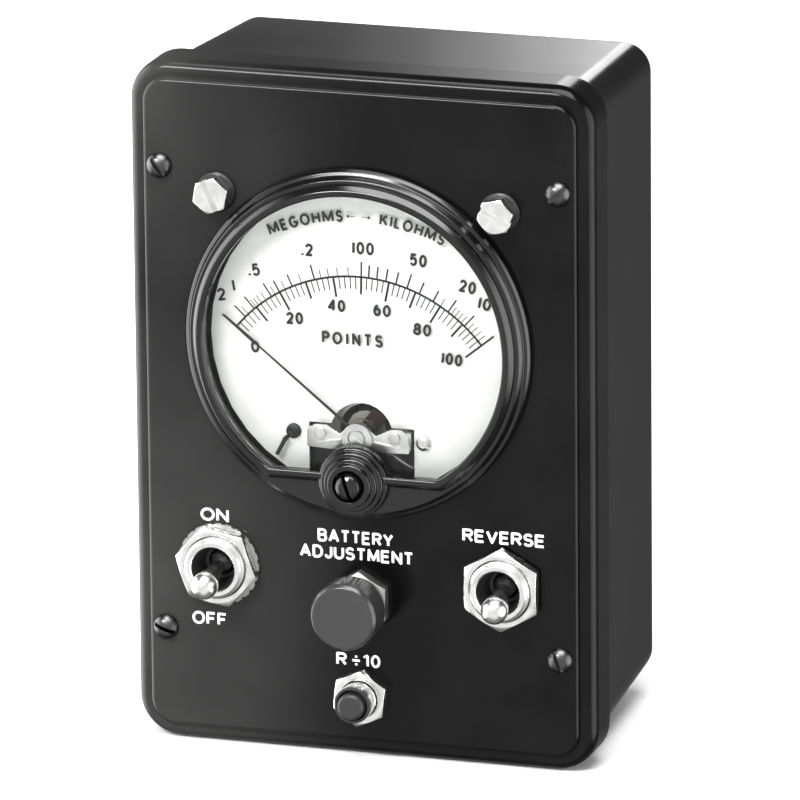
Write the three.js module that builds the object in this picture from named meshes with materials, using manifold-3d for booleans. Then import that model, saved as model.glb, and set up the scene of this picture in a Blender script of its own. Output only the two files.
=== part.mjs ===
// Insulation resistance tester: a black phenolic case with a round moving-coil meter, two toggle
// switches, a battery adjustment control, a push button and a pair of test-lead terminals.
// Units are millimetres, +Z is up, the front panel faces -Y, and the object stands on z = 0.
// Inside the instrument group, y = 0 is the face of the front panel and z = 0 is its middle height.
import * as THREE from 'three';
import { mergeVertices } from 'three/addons/utils/BufferGeometryUtils.js';
import Module from 'manifold-3d';

const wasm = await Module();
wasm.setup();

// ---------------------------------------------------------------- driving dimensions
const WIDTH = 92.1;
const HEIGHT = 134.7;
const DEPTH = 55.4; // panel face to the back of the case
const GAP = 0.3; // clearance between pieces that fit into each other
const SEAT = 0.05; // clearance under a flat seat
const ROUND = 36; // sides of a large circle
const SMALL_ROUND = 16; // sides of a small circle
const TINY_ROUND = 12; // sides of a circle a few millimetres across

const cover = {
  depth: 11.4, radius: 8.0, panel: 3.2, wall: 3.0, step: 1.3, rim: 3.0, edge: 1.1, shoulder: 2.2,
};
const rear = {
  inset: 2.1, radius: 5.6, wall: 2.8, draft: 2.5, edge: 2.4, tongueFront: 4.0, pillar: 3.8,
};
const panelScrew = {
  x: 39.5, top: 47.1, bottom: -44.6, head: 2.5, brim: 0.35, headHeight: 2.0, shank: 1.3, length: 13,
};

const meter = {
  z: 15.0, flange: 34.4, window: 29.8, chord: -24.6, lip: 5.2, lipThickness: 1.1, rim: 2.0,
  plate: 3.6, plateBack: 2.9, skirt: 31.9, skirtDepth: 12.5, bore: 30.4, glass: 1.7, glassChord: -26.0,
  dialFace: 1.0, dialThickness: 0.6,
};
const meterCup = { wall: 1.9, front: 7, floor: 24, back: 26, wellRadius: 7, wellDepth: 14.4 };
const boss = { radius: 6.9, tip: 4.3, z: -26.3, front: 7.7, seat: 1.1 };
const adjuster = { head: 2.3, front: 9.0, shank: 1.5, back: 2.6 };
const pivotZ = -18.35; // pointer axis, from the middle of the meter
const movement = {
  poleBore: 5.3, poleGap: 0.5, poleHalfWidth: 10.2, poleHalfHeight: 6.8, front: 4.2, back: 13, core: 3.9,
};
const coilFormer = { halfWidth: 4.9, opening: 4.25, halfHeight: 1.6, front: 3.0, back: 14.2, turn: 0.7 };
const magnetRing = { inner: 12.7, outer: 17.0, front: 4.8, back: 12.6, overlap: 8 };
const dialScrewPlaces = { left: { x: -13.5, z: -18.6 }, right: { x: 12.4, z: -19.0 } };
const dialOpening = { halfWidth: 10.5, top: 1.8, arch: 6.3 };
const stopWire = { radius: 0.4, fromX: -14.9, fromZ: -1.65, toX: -16.6, toZ: -4.85, y: -0.15 };
const stud = { x: 12.5, z: 6, shank: 2, flange: 3.6, nutFlats: 7.9, length: 36 };
const scaleHalfAngle = 51; // degrees from the middle of the dial to either end of the scale
const pointerLength = 35.0;

const toggle = {
  x: 28.5, z: -31.0, bushing: 5.95, mouth: 4.25, throat: 2.6, throatFront: 1.5, front: 4.6, edge: 0.5,
  nutFlats: 14.29, nutBack: 0.8, nutThickness: 2.4, pivotY: 1.0, halfAngle: 10, tip: 2.6, reach: 13.2,
};
const toggleBody = {
  halfWidth: 6.8, halfHeight: 12.5, front: 3.65, back: 19, cavity: 3.4, cavityBack: 10.15,
};
const control = {
  z: -36.0, bushing: 4.4, bushingFront: 3.3, nutFlats: 10.7, nutFront: 2.4, shaft: 3.15, body: 8.5,
  bodyBack: 13.5,
};
const knob = { radius: 6.6, neck: 5.2, front: 12.5, shoulder: 5.5, back: 3.9, fit: 0.2 };
const setScrew = { radius: 1.2, y: -8.2, sink: 0.7 };
const button = {
  z: -55.1, bushing: 3.6, bore: 3.0, front: 6.8, nutFlats: 9.9, nutFront: 2.6, plunger: 2.7,
  plungerFront: 8.3, bodyBack: 16, body: 10.4,
};
const terminal = {
  x: 28.2, z: 42.7, flats: 6.35, washer: 3.95, washerThickness: 0.85, headHeight: 3.1, shank: 1.95,
  slotWidth: 1.1, slotDepth: 1.2,
};

const PANEL_Y = (knob.front - DEPTH) / 2; // puts the origin under the middle of the bounding box

// ---------------------------------------------------------------- materials
const finishes = {
  phenolic: { color: 0x0e0e0f, roughness: 0.18, metalness: 0 },
  knobPhenolic: { color: 0x2a2a2b, roughness: 0.4, metalness: 0 },
  plated: { color: 0xc9cbcc, roughness: 0.22, metalness: 1 },
  blackened: { color: 0x141414, roughness: 0.35, metalness: 0.6 },
  brass: { color: 0xb08d45, roughness: 0.35, metalness: 1 },
  glass: { color: 0xf2f6f6, roughness: 0.03, metalness: 0 },
  dial: { color: 0xf3f1ea, roughness: 0.6, metalness: 0 },
  pointer: { color: 0x111111, roughness: 0.5, metalness: 0 },
  silver: { color: 0xd5d6d4, roughness: 0.3, metalness: 1 },
  iron: { color: 0x77787a, roughness: 0.45, metalness: 1 },
  copper: { color: 0xa5532d, roughness: 0.4, metalness: 1 },
  bronze: { color: 0xa98452, roughness: 0.4, metalness: 1 },
  laminate: { color: 0x7a4f28, roughness: 0.6, metalness: 0 },
  resistor: { color: 0xc9b48a, roughness: 0.5, metalness: 0 },
  battery: { color: 0x2c4a63, roughness: 0.45, metalness: 0.1 },
};

// ---------------------------------------------------------------- geometry helpers
function signedVolume(geometry) {
  const p = geometry.getAttribute('position');
  const index = geometry.getIndex();
  const [a, b, c] = [new THREE.Vector3(), new THREE.Vector3(), new THREE.Vector3()];
  let sum = 0;
  for (let i = 0; i < index.count; i += 3) {
    a.fromBufferAttribute(p, index.getX(i));
    b.fromBufferAttribute(p, index.getX(i + 1));
    c.fromBufferAttribute(p, index.getX(i + 2));
    sum += a.dot(b.cross(c));
  }
  return sum;
}

// A closed geometry as a solid that can be cut and joined; its faces are turned to point outwards.
function solid(source) {
  const geometry = source.clone();
  geometry.deleteAttribute('normal');
  geometry.deleteAttribute('uv');
  const merged = mergeVertices(geometry, 1e-4);
  const triVerts = [];
  const index = merged.getIndex();
  const outward = signedVolume(merged) > 0;
  for (let i = 0; i < index.count; i += 3) {
    const [a, b, c] = [index.getX(i), index.getX(i + 1), index.getX(i + 2)];
    if (a !== b && b !== c && c !== a) {
      triVerts.push(a, outward ? b : c, outward ? c : b);
    }
  }
  const vertProperties = new Float32Array(merged.getAttribute('position').array);
  const mesh = new wasm.Mesh({ numProp: 3, vertProperties, triVerts: new Uint32Array(triVerts) });
  return new wasm.Manifold(mesh);
}

function geometryOf(body) {
  const mesh = body.getMesh();
  const geometry = new THREE.BufferGeometry();
  geometry.setAttribute('position', new THREE.BufferAttribute(new Float32Array(mesh.vertProperties), 3));
  geometry.setIndex(new THREE.BufferAttribute(new Uint32Array(mesh.triVerts), 1));
  geometry.computeVertexNormals();
  return geometry;
}

const joined = (...bodies) => bodies.reduce((sum, body) => sum.add(body));
const cut = (body, ...tools) => tools.reduce((left, tool) => left.subtract(tool), body);

// A cylinder along Y.
function disc(radius, y0, y1, x = 0, z = 0, sides = SMALL_ROUND) {
  return solid(new THREE.CylinderGeometry(radius, radius, y1 - y0, sides).translate(x, (y0 + y1) / 2, z));
}

function block(x0, x1, y0, y1, z0, z1) {
  const box = new THREE.BoxGeometry(x1 - x0, y1 - y0, z1 - z0);
  return solid(box.translate((x0 + x1) / 2, (y0 + y1) / 2, (z0 + z1) / 2));
}

// A profile of [radius, y] points turned about the Y axis at (x, z).
function turned(profile, sides = SMALL_ROUND, x = 0, z = 0) {
  const points = profile.map(([r, y]) => new THREE.Vector2(r, y));
  return solid(new THREE.LatheGeometry(points, sides).translate(x, 0, z));
}

// A closed ring of rectangular section about the Y axis.
function ring(inner, outer, y0, y1, x = 0, z = 0, sides = SMALL_ROUND) {
  return turned([[inner, y0], [outer, y0], [outer, y1], [inner, y1], [inner, y0]], sides, x, z);
}

// An outline in X and Z, run along Y from y0 to y1, with optional rounded ends.
function slab(shape, y0, y1, edge = 0, curveSegments = 3, bevelSegments = 1) {
  const options = { depth: y1 - y0 - 2 * edge, curveSegments, bevelEnabled: edge > 0, bevelSegments };
  Object.assign(options, { bevelSize: edge, bevelThickness: edge, bevelOffset: -edge });
  return solid(new THREE.ExtrudeGeometry(shape, options).rotateX(Math.PI / 2).translate(0, y1 - edge, 0));
}

function roundedRectangle(width, height, radius) {
  const [w, h] = [width / 2 - radius, height / 2 - radius];
  const quarter = Math.PI / 2;
  const shape = new THREE.Shape();
  shape.absarc(w, h, radius, 0, quarter);
  shape.absarc(-w, h, radius, quarter, 2 * quarter);
  shape.absarc(-w, -h, radius, 2 * quarter, 3 * quarter);
  shape.absarc(w, -h, radius, 3 * quarter, 4 * quarter);
  return shape;
}

// The part of a ring between two angles, measured from +X towards +Z.
function ringSector(inner, outer, from, to) {
  const shape = new THREE.Shape();
  shape.absarc(0, 0, outer, from, to, false);
  shape.absarc(0, 0, inner, to, from, true);
  return shape;
}

// A hexagon bar along Y with its corners chamfered at the front; turn rotates it about Y.
function hexagon(flats, y0, y1, turn = 0, chamfer = 0) {
  const radius = flats / Math.sqrt(3);
  const prism = new THREE.CylinderGeometry(radius, radius, y1 - y0, 6).rotateY(turn);
  const bar = solid(prism.translate(0, (y0 + y1) / 2, 0));
  if (chamfer === 0) {
    return bar;
  }
  const face = flats / 2 - 0.1;
  const drop = (radius + 1 - face) * 0.45;
  const profile = [[0, y0], [face, y0], [radius + 1, y0 + drop], [radius + 1, y1 + 1], [0, y1 + 1]];
  return bar.intersect(turned(profile, 24));
}

// A screw along Y: shank, head and a straight slot; turn rotates the slot about Y.
function slotted(body, y0, depth, width, length, turn) {
  const slot = new THREE.BoxGeometry(length, depth * 2, width).rotateY(turn).translate(0, y0, 0);
  return body.subtract(solid(slot));
}

class Helix extends THREE.Curve {
  constructor(radius, y0, y1, turns) {
    super();
    Object.assign(this, { radius, y0, y1, turns });
  }

  getPoint(t, target = new THREE.Vector3()) {
    const angle = t * this.turns * 2 * Math.PI;
    const y = this.y0 + (this.y1 - this.y0) * t;
    return target.set(this.radius * Math.cos(angle), y, this.radius * Math.sin(angle));
  }
}

// ---------------------------------------------------------------- scene graph
const tester = new THREE.Group();
const instrument = new THREE.Group();
instrument.position.set(0, PANEL_Y, HEIGHT / 2);
tester.add(instrument);

function assembly(x, y, z) {
  const group = new THREE.Group();
  group.position.set(x, y, z);
  instrument.add(group);
  return group;
}

function piece(group, name, body, finish) {
  const mesh = new THREE.Mesh(geometryOf(body), new THREE.MeshStandardMaterial(finishes[finish]));
  mesh.name = name;
  group.add(mesh);
  return mesh;
}

// ---------------------------------------------------------------- casing
const screwPlaces = [
  { name: 'top_left', x: -panelScrew.x, z: panelScrew.top, turn: 0.5 },
  { name: 'top_right', x: panelScrew.x, z: panelScrew.top, turn: 1.1 },
  { name: 'bottom_left', x: -panelScrew.x, z: panelScrew.bottom, turn: 2.1 },
  { name: 'bottom_right', x: panelScrew.x, z: panelScrew.bottom, turn: 0.2 },
];

function frontCover() {
  const skirtOutline = roundedRectangle(WIDTH, HEIGHT, cover.radius);
  const skirt = joined(
    slab(skirtOutline, cover.step, cover.depth, cover.shoulder, 4, 2),
    slab(skirtOutline, cover.depth / 2, cover.depth, 0, 4),
  );
  const rim = 2 * cover.rim;
  const top = roundedRectangle(WIDTH - rim, HEIGHT - rim, cover.radius - cover.rim);
  const plateau = slab(top, 0, cover.panel, cover.edge, 4, 2);
  const wall = 2 * cover.wall;
  const inside = roundedRectangle(WIDTH - wall, HEIGHT - wall, cover.radius - cover.wall);
  const holes = [
    disc(meter.skirt + GAP, -1, cover.depth, 0, meter.z, ROUND),
    disc(control.bushing + GAP, -1, cover.depth, 0, control.z),
    disc(button.bushing + GAP, -1, cover.depth, 0, button.z),
  ];
  for (const side of [-1, 1]) {
    holes.push(disc(toggle.bushing + GAP, -1, cover.depth, side * toggle.x, toggle.z));
    holes.push(disc(terminal.shank + GAP, -1, cover.depth, side * terminal.x, terminal.z));
  }
  for (const { x, z } of screwPlaces) {
    holes.push(disc(panelScrew.shank + GAP, -1, cover.depth, x, z, TINY_ROUND));
  }
  return cut(joined(skirt, plateau), slab(inside, cover.panel, cover.depth + 1), ...holes);
}

// A slab whose sides lean in towards the back by the moulding draft.
function drafted(width, height, radius, y0, y1, edge) {
  const body = slab(roundedRectangle(width, height, radius), y0, y1, edge, 3, 2);
  const lean = Math.tan(THREE.MathUtils.degToRad(rear.draft));
  return body.warp((v) => {
    const inset = Math.max(0, v[1] - y0) * lean;
    v[0] *= 1 - (2 * inset) / width;
    v[2] *= 1 - (2 * inset) / height;
  });
}

function rearCase() {
  const front = cover.depth + GAP;
  const [width, height] = [WIDTH - 2 * rear.inset, HEIGHT - 2 * rear.inset];
  const shell = joined(
    drafted(width, height, rear.radius, front, DEPTH, rear.edge),
    slab(roundedRectangle(width, height, rear.radius), front, front + rear.edge + 1),
  );
  const fit = 2 * (cover.wall + GAP);
  const tongueRadius = cover.radius - cover.wall - GAP;
  const tongueOutline = roundedRectangle(WIDTH - fit, HEIGHT - fit, tongueRadius);
  const tongue = slab(tongueOutline, rear.tongueFront, front + 1);
  const wall = 2 * rear.wall;
  const cavityRadius = rear.radius - rear.wall;
  const cavity = joined(
    drafted(width - wall, height - wall, cavityRadius, front - 1, DEPTH - rear.wall, 1),
    slab(roundedRectangle(width - wall, height - wall, cavityRadius), 0, front + 2),
  );
  const envelope = joined(shell, tongue);
  let body = envelope.subtract(cavity);
  for (const { x, z } of screwPlaces) {
    const pillar = disc(rear.pillar, rear.tongueFront, DEPTH - 1, x, z, TINY_ROUND);
    body = body.add(pillar.intersect(envelope));
  }
  for (const { x, z } of screwPlaces) {
    body = body.subtract(disc(panelScrew.shank + GAP, 0, panelScrew.length + 1, x, z, TINY_ROUND));
  }
  return body;
}

function panelScrewBody(turn) {
  const { head, brim, headHeight, shank, length } = panelScrew;
  const rise = headHeight - brim;
  const profile = [[0, length], [shank, length - 1], [shank, -SEAT], [head, -SEAT], [head, -brim]];
  for (const step of [0.35, 0.65, 0.88]) {
    profile.push([head * Math.sqrt(1 - step * step), -brim - rise * step]);
  }
  profile.push([0, -headHeight]);
  return slotted(turned(profile, 16), -headHeight, 0.9, 0.8, 3 * head, turn);
}

function addCasing() {
  piece(instrument, 'front_cover', frontCover(), 'phenolic');
  piece(instrument, 'rear_case', rearCase(), 'phenolic');
  for (const { name, x, z, turn } of screwPlaces) {
    piece(assembly(x, 0, z), `panel_screw_${name}`, panelScrewBody(turn), 'blackened');
  }
}

// ---------------------------------------------------------------- meter
const glassBack = -meter.lip + meter.lipThickness + meter.glass + SEAT;

// The region below a level line.
function below(level, reach = 80) {
  return block(-reach, reach, -reach, reach, level - reach, level);
}

// The part of a disc above a level chord, as an outline.
function aboveChord(radius, level) {
  const corner = Math.asin(level / radius);
  const shape = new THREE.Shape();
  shape.absarc(0, 0, radius, corner, Math.PI - corner, false);
  shape.closePath();
  return shape;
}

function segmentSlab(radius, level, y0, y1, edge = 0) {
  return slab(aboveChord(radius, level), y0, y1, edge, ROUND, 2);
}

// Stepped flange, a raised rim round the window that follows its chord, and the boss of the adjuster.
function meterBezel() {
  const { flange, window, chord, lip, lipThickness, rim, skirt, skirtDepth, bore } = meter;
  const { plate, plateBack } = meter;
  const glassFront = -lip + lipThickness;
  const profile = [
    [0, -plate], [skirt, -plate], [skirt + 1, -plate + 0.2], [skirt + 1.5, -plate + 0.7],
    [skirt + 1.6, -2.0], [flange - 0.5, -1.8], [flange, -1.3], [flange, -SEAT], [skirt, -SEAT],
    [skirt, skirtDepth], [bore, skirtDepth], [bore, -plateBack], [0, -plateBack],
  ];
  const raised = segmentSlab(window + rim, chord - rim, -lip, -plateBack, 0.4);
  const opening = segmentSlab(window, chord, -lip - 1, 0);
  const glassRoom = segmentSlab(bore, meter.glassChord, glassFront, 0);
  const steps = [0, 1, 2, 3].map((k) => (boss.radius - boss.tip) * (k / 3));
  const dome = [[0, glassFront], [boss.radius, glassFront]];
  for (const step of steps) {
    dome.push([boss.radius - step, -lip - step * 0.9], [boss.radius - step - 0.5, -lip - step * 0.9 - 0.16]);
  }
  dome.push([0, -boss.front]);
  const shell = cut(joined(turned(profile, ROUND), raised), opening, glassRoom);
  const lowerDome = disc(boss.radius, glassFront, -plateBack, 0, boss.z).intersect(below(meter.glassChord));
  const hole = disc(adjuster.shank + GAP, -20, 20, 0, boss.z);
  const seat = disc(adjuster.head + GAP, -20, -boss.front + boss.seat, 0, boss.z);
  return cut(joined(shell, turned(dome, SMALL_ROUND, 0, boss.z), lowerDome), hole, seat);
}

function meterGlass() {
  const front = glassBack - meter.glass;
  const body = disc(meter.bore - GAP, front, glassBack, 0, 0, ROUND);
  return cut(body, below(meter.glassChord + GAP), disc(adjuster.shank + GAP, -10, 0, 0, boss.z));
}

// A cup behind the bezel; a pedestal on its floor carries the magnet, the core and the rear bearing.
function meterBase() {
  const outer = meter.bore - GAP;
  const { wall, front, floor, back, wellRadius, wellDepth } = meterCup;
  const cup = turned([
    [0, back], [outer, back], [outer, front], [outer - wall, front], [outer - wall, floor], [0, floor],
  ], ROUND);
  const seat = movement.back + SEAT;
  const round = disc(outer, seat, back - 1, 0, 0, ROUND);
  const pedestal = disc(magnetRing.outer, seat, back - 1, 0, pivotZ, 24).intersect(round);
  const wellProfile = [
    [0, wellDepth + 0.8], [0.9, wellDepth], [wellRadius, wellDepth], [wellRadius, 10], [0, 10],
  ];
  const well = turned(wellProfile, SMALL_ROUND, 0, pivotZ);
  const studHoles = [-1, 1].map((side) => disc(stud.shank + GAP, 20, 30, side * stud.x, stud.z));
  return cut(cup.add(pedestal), well, ...studHoles);
}

function dialPlate() {
  const { dialFace, dialThickness, bore } = meter;
  const { halfWidth, top, arch } = dialOpening;
  const plate = disc(bore - 0.5, dialFace, dialFace + dialThickness, 0, 0, ROUND);
  const opening = block(-halfWidth, halfWidth, -1, 5, -2 * bore, pivotZ + top);
  const round = disc(arch, -1, 5, 0, pivotZ, 24);
  const places = Object.values(dialScrewPlaces);
  const holes = places.map(({ x, z }) => disc(0.7 + GAP, -1, 5, x, z, TINY_ROUND));
  return cut(plate, opening, round, below(-bore + 2), ...holes);
}

function dialScrew() {
  const face = meter.dialFace - SEAT;
  const profile = [
    [0, face + 3], [0.7, face + 3], [0.7, face], [1.5, face], [1.45, face - 0.5], [0.9, face - 0.8],
    [0, face - 0.85],
  ];
  return slotted(turned(profile, TINY_ROUND), face - 0.85, 0.35, 0.4, 4, 0.7);
}

function poleShoe(side) {
  const { poleBore, poleGap, poleHalfWidth, poleHalfHeight, front, back } = movement;
  const [x0, x1] = [side * poleGap, side * poleHalfWidth].sort((a, b) => a - b);
  const shoe = block(x0, x1, front, back, -poleHalfHeight, poleHalfHeight);
  return shoe.subtract(disc(poleBore, 0, 20, 0, 0, 32));
}

function magnet() {
  const { inner, outer, front, back, overlap } = magnetRing;
  const dip = THREE.MathUtils.degToRad(overlap);
  return slab(ringSector(inner, outer, -dip, Math.PI + dip), front, back, 0, 12);
}

// Front bridge: a cross strap with two feet that stand on the pole shoes and an eye for the jewel screw.
function bridge() {
  const strap = slab(roundedRectangle(20.2, 4.1, 0.9), -1.7, -0.7).translate(0, 0, -0.6);
  const eye = disc(2.6, -1.7, -0.7);
  const footBack = movement.front - SEAT;
  const feet = [-9.3, 9.3].map((x) => block(x - 0.7, x + 0.7, -1.2, footBack, -2.2, 1.2));
  return joined(strap, eye, ...feet).subtract(disc(1.1, -5, 5));
}

function jewelScrew() {
  const profile = [[0, -2.15], [1.5, -2.15], [1.5, -1.75], [0.8, -1.75], [0.8, -0.55], [0, -0.55]];
  return slotted(turned(profile, TINY_ROUND), -2.15, 0.25, 0.35, 4, 0.5);
}

// A bent wire in front of the dial that stops the pointer below the end of its scale.
function pointerStop() {
  const { radius, fromX, fromZ, toX, toZ, y } = stopWire;
  const post = disc(radius + 0.05, y - 0.45, meter.dialFace - SEAT, fromX, fromZ, TINY_ROUND);
  const from = new THREE.Vector3(fromX, y, fromZ);
  const to = new THREE.Vector3(toX, y, toZ);
  const along = to.clone().sub(from);
  const bar = new THREE.CylinderGeometry(radius, radius, along.length(), TINY_ROUND);
  const up = new THREE.Vector3(0, 1, 0);
  bar.applyQuaternion(new THREE.Quaternion().setFromUnitVectors(up, along.normalize()));
  bar.translate(...from.add(to).multiplyScalar(0.5).toArray());
  return post.add(solid(bar));
}

// A rectangular coil former with its staff, turned to the rest angle of the pointer.
function movingCoil() {
  const { halfWidth, opening, halfHeight, front, back, turn } = coilFormer;
  const frame = cut(
    block(-halfWidth, halfWidth, front, back, -halfHeight, halfHeight),
    block(-opening, opening, front + turn, back - turn, -2 * halfHeight, 2 * halfHeight),
  );
  const pivots = [[-0.35, front + 0.2], [back - 0.2, back + 0.5]];
  return joined(frame, ...pivots.map(([y0, y1]) => disc(0.4, y0, y1, 0, 0, TINY_ROUND)));
}

function pointerBody() {
  const needle = new THREE.Shape();
  needle.moveTo(-0.45, 1.0);
  needle.lineTo(-0.12, pointerLength);
  needle.lineTo(0.12, pointerLength);
  needle.lineTo(0.45, 1.0);
  needle.closePath();
  const arms = [block(-0.35, 0.35, -0.15, 0.25, -5.6, -1), block(-4.2, 4.2, -0.15, 0.25, -0.35, 0.35)];
  const weight = (radius, x, z) => disc(radius, -0.3, 0.4, x, z, 8);
  const weights = [weight(0.75, 0, -4.9), weight(0.6, -3.6, 0), weight(0.6, 3.6, 0)];
  const hub = ring(0.4 + 0.25, 1.4, -0.3, 0.4, 0, 0, TINY_ROUND);
  const centre = disc(1.0, -1, 1, 0, 0, TINY_ROUND);
  return joined(joined(slab(needle, -0.1, 0.2), ...arms, ...weights).subtract(centre), hub);
}

// A flat spiral band.
function hairspring(inner, outer, turns, width, y0, y1) {
  const steps = turns * 16;
  const edge = (offset, i) => {
    const angle = (i / steps) * turns * 2 * Math.PI;
    const radius = inner + ((outer - inner) * i) / steps + offset;
    return new THREE.Vector2(radius * Math.cos(angle), radius * Math.sin(angle));
  };
  const numbers = [...Array(steps + 1).keys()];
  const outerEdge = numbers.map((i) => edge(width / 2, i));
  const innerEdge = numbers.reverse().map((i) => edge(-width / 2, i));
  return slab(new THREE.Shape([...outerEdge, ...innerEdge]), y0, y1);
}

const adjusterDrop = pivotZ - boss.z; // pointer axis down to the adjuster axis
const pin = { radius: 0.5, offset: 1.2 };

function zeroAdjuster() {
  const { head, front, shank, back } = adjuster;
  const seat = -boss.front + boss.seat - SEAT;
  const profile = [
    [0, -front], [head - 1.1, -front + 0.15], [head - 0.3, -front + 0.6], [head, -front + 1.1], [head, seat],
    [shank, seat], [shank, -back], [0, -back],
  ];
  const screw = slotted(turned(profile, 16), -front, 0.9, 0.7, 3 * head, 1.25);
  return screw.add(disc(pin.radius, -back - 0.4, -1.2, 0, pin.offset, TINY_ROUND));
}

// The arm that turns the hairspring's outer end: an eye round the jewel screw and a forked tail.
function zeroArm() {
  const tail = block(-1.5, 1.5, -2.2, -1.85, -adjusterDrop - 1.2, -2);
  const slot = block(-pin.radius - 0.3, pin.radius + 0.3, -3, 0, -adjusterDrop - 3, -adjusterDrop + 3.4);
  return cut(joined(disc(3.0, -2.2, -1.85), tail), slot, disc(1.85, -3, 0));
}

function addMeter() {
  const centre = assembly(0, 0, meter.z);
  piece(centre, 'meter_bezel', meterBezel(), 'phenolic');
  piece(centre, 'meter_glass', meterGlass(), 'glass');
  piece(centre, 'meter_base', meterBase(), 'phenolic');
  piece(centre, 'dial_plate', dialPlate(), 'dial');
  const sides = [['left', -1], ['right', 1]];
  for (const [name, side] of sides) {
    const { x, z } = dialScrewPlaces[name];
    piece(centre, `dial_screw_${name}`, dialScrew(), 'silver').position.set(x, 0, z);
    const { floor, back } = meterCup;
    const flange = disc(stud.flange, floor - 3, floor - SEAT);
    const shank = joined(disc(stud.shank, floor - 3, stud.length), flange);
    piece(centre, `meter_stud_${name}`, shank, 'brass').position.set(side * stud.x, 0, stud.z);
    const bar = hexagon(stud.nutFlats, back + SEAT, back + 2.6, 0.3);
    const nut = bar.subtract(disc(stud.shank + GAP, 0, 60));
    piece(centre, `meter_stud_nut_${name}`, nut, 'brass').position.set(side * stud.x, 0, stud.z);
  }

  const axis = assembly(0, 0, meter.z + pivotZ);
  for (const [name, side] of sides) {
    piece(axis, `pole_shoe_${name}`, poleShoe(side), 'iron');
  }
  piece(axis, 'magnet', magnet(), 'iron');
  piece(axis, 'movement_core', disc(movement.core, movement.front, movement.back), 'iron');
  piece(axis, 'movement_bridge', bridge(), 'silver');
  piece(axis, 'jewel_screw', jewelScrew(), 'brass');
  piece(axis, 'hairspring', hairspring(1.1, 3.6, 3, 0.22, 1.3, 1.7), 'bronze');
  piece(axis, 'zero_arm', zeroArm(), 'silver');
  piece(axis, 'pointer_stop', pointerStop(), 'silver');

  const rest = new THREE.Group();
  rest.rotation.y = -THREE.MathUtils.degToRad(scaleHalfAngle);
  axis.add(rest);
  piece(rest, 'moving_coil', movingCoil(), 'copper');
  piece(rest, 'pointer', pointerBody(), 'pointer');

  piece(assembly(0, 0, meter.z + boss.z), 'zero_adjuster', zeroAdjuster(), 'phenolic');
}

// ---------------------------------------------------------------- toggle switches
function toggleBushing() {
  const { bushing, mouth, throat, throatFront, front, edge } = toggle;
  const back = toggleBody.front - SEAT;
  const profile = [
    [mouth, -front], [bushing - edge, -front], [bushing, -front + edge], [bushing, back], [throat, back],
    [throat, throatFront], [mouth, -front],
  ];
  return turned(profile, 20);
}

function toggleNut(turn) {
  const y1 = -toggle.nutBack;
  const nut = hexagon(toggle.nutFlats, y1 - toggle.nutThickness, y1, turn, 1);
  return nut.subtract(disc(toggle.bushing + GAP, -10, 0, 0, 0, 24));
}

// Bat lever along -Y from its pivot: ball, neck, and a handle that swells to a round tip.
function toggleLever() {
  const { tip, reach } = toggle;
  const drop = (step) => tip * (1 - Math.sqrt(1 - step * step));
  const round = [0, 0.45, 0.8, 1].map((step) => [tip * step, drop(step) - reach]);
  const neck = [[tip - 0.1, -reach + tip + 1.5], [1.6, -6.0], [1.25, -3.6], [1.25, -2.0]];
  const ball = [[1.9, -1.0], [2.15, 0], [1.9, 1.0], [1.1, 1.9], [1.1, 4.6], [0.6, 5.0], [0, 5.0]];
  return turned([...round, ...neck, ...ball], 14);
}

function toggleSwitchBody() {
  const { halfWidth, halfHeight, front, back, cavity, cavityBack } = toggleBody;
  const box = slab(roundedRectangle(2 * halfWidth, 2 * halfHeight, 1.2), front, back, 0.5);
  const hollow = block(-cavity, cavity, front - 1, cavityBack, -cavity, cavity);
  const lugs = [-8, 0, 8].map((z) => block(-2.2, 2.2, back - 1, back + 6, z - 0.5, z + 0.5));
  return joined(box.subtract(hollow), ...lugs);
}

// lean is the sideways play of the lever in its ball seat.
function addToggle(name, side, nutTurn, washer, lean) {
  const place = assembly(side * toggle.x, 0, toggle.z);
  piece(place, `${name}_switch_body`, toggleSwitchBody(), 'laminate');
  piece(place, `${name}_switch_bushing`, toggleBushing(), 'plated');
  const lockWasher = ring(toggle.bushing + GAP, washer, SEAT - toggle.nutBack, -SEAT);
  piece(place, `${name}_switch_lock_washer`, lockWasher, 'plated');
  piece(place, `${name}_switch_nut`, toggleNut(nutTurn), 'plated');
  const lever = piece(place, `${name}_switch_lever`, toggleLever(), 'plated');
  lever.position.y = toggle.pivotY;
  lever.rotation.order = 'XZY';
  lever.rotation.x = THREE.MathUtils.degToRad(toggle.halfAngle);
  lever.rotation.z = THREE.MathUtils.degToRad(lean);
}

// ---------------------------------------------------------------- battery adjustment control
function controlBody() {
  const front = cover.panel + 0.4;
  const can = disc(control.body, front, control.bodyBack, 0, 0, 24);
  const lugs = [-4, 0, 4].map((x) => block(x - 0.9, x + 0.9, front + 2, front + 3, -13, -7));
  const hollow = disc(control.shaft + 1.2, front - 1, control.bodyBack - 2);
  return joined(can, ...lugs).subtract(hollow);
}

function knobBody() {
  const { radius, neck, front, shoulder, back, fit } = knob;
  const bore = control.shaft + fit;
  return turned([
    [0, -front], [radius - 1.3, -front], [radius - 0.4, -front + 0.35], [radius, -front + 1.2],
    [radius, -shoulder - 0.5], [radius - 0.5, -shoulder], [neck, -shoulder], [neck, -back],
    [bore, -back], [bore, -front + 2], [0, -front + 2],
  ], 24);
}

// A cylinder along Z, for the set screw and its hole.
function upright(radius, z0, z1) {
  const bar = new THREE.CylinderGeometry(radius, radius, z1 - z0, TINY_ROUND).rotateX(Math.PI / 2);
  return solid(bar.translate(0, setScrew.y, (z0 + z1) / 2));
}

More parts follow.
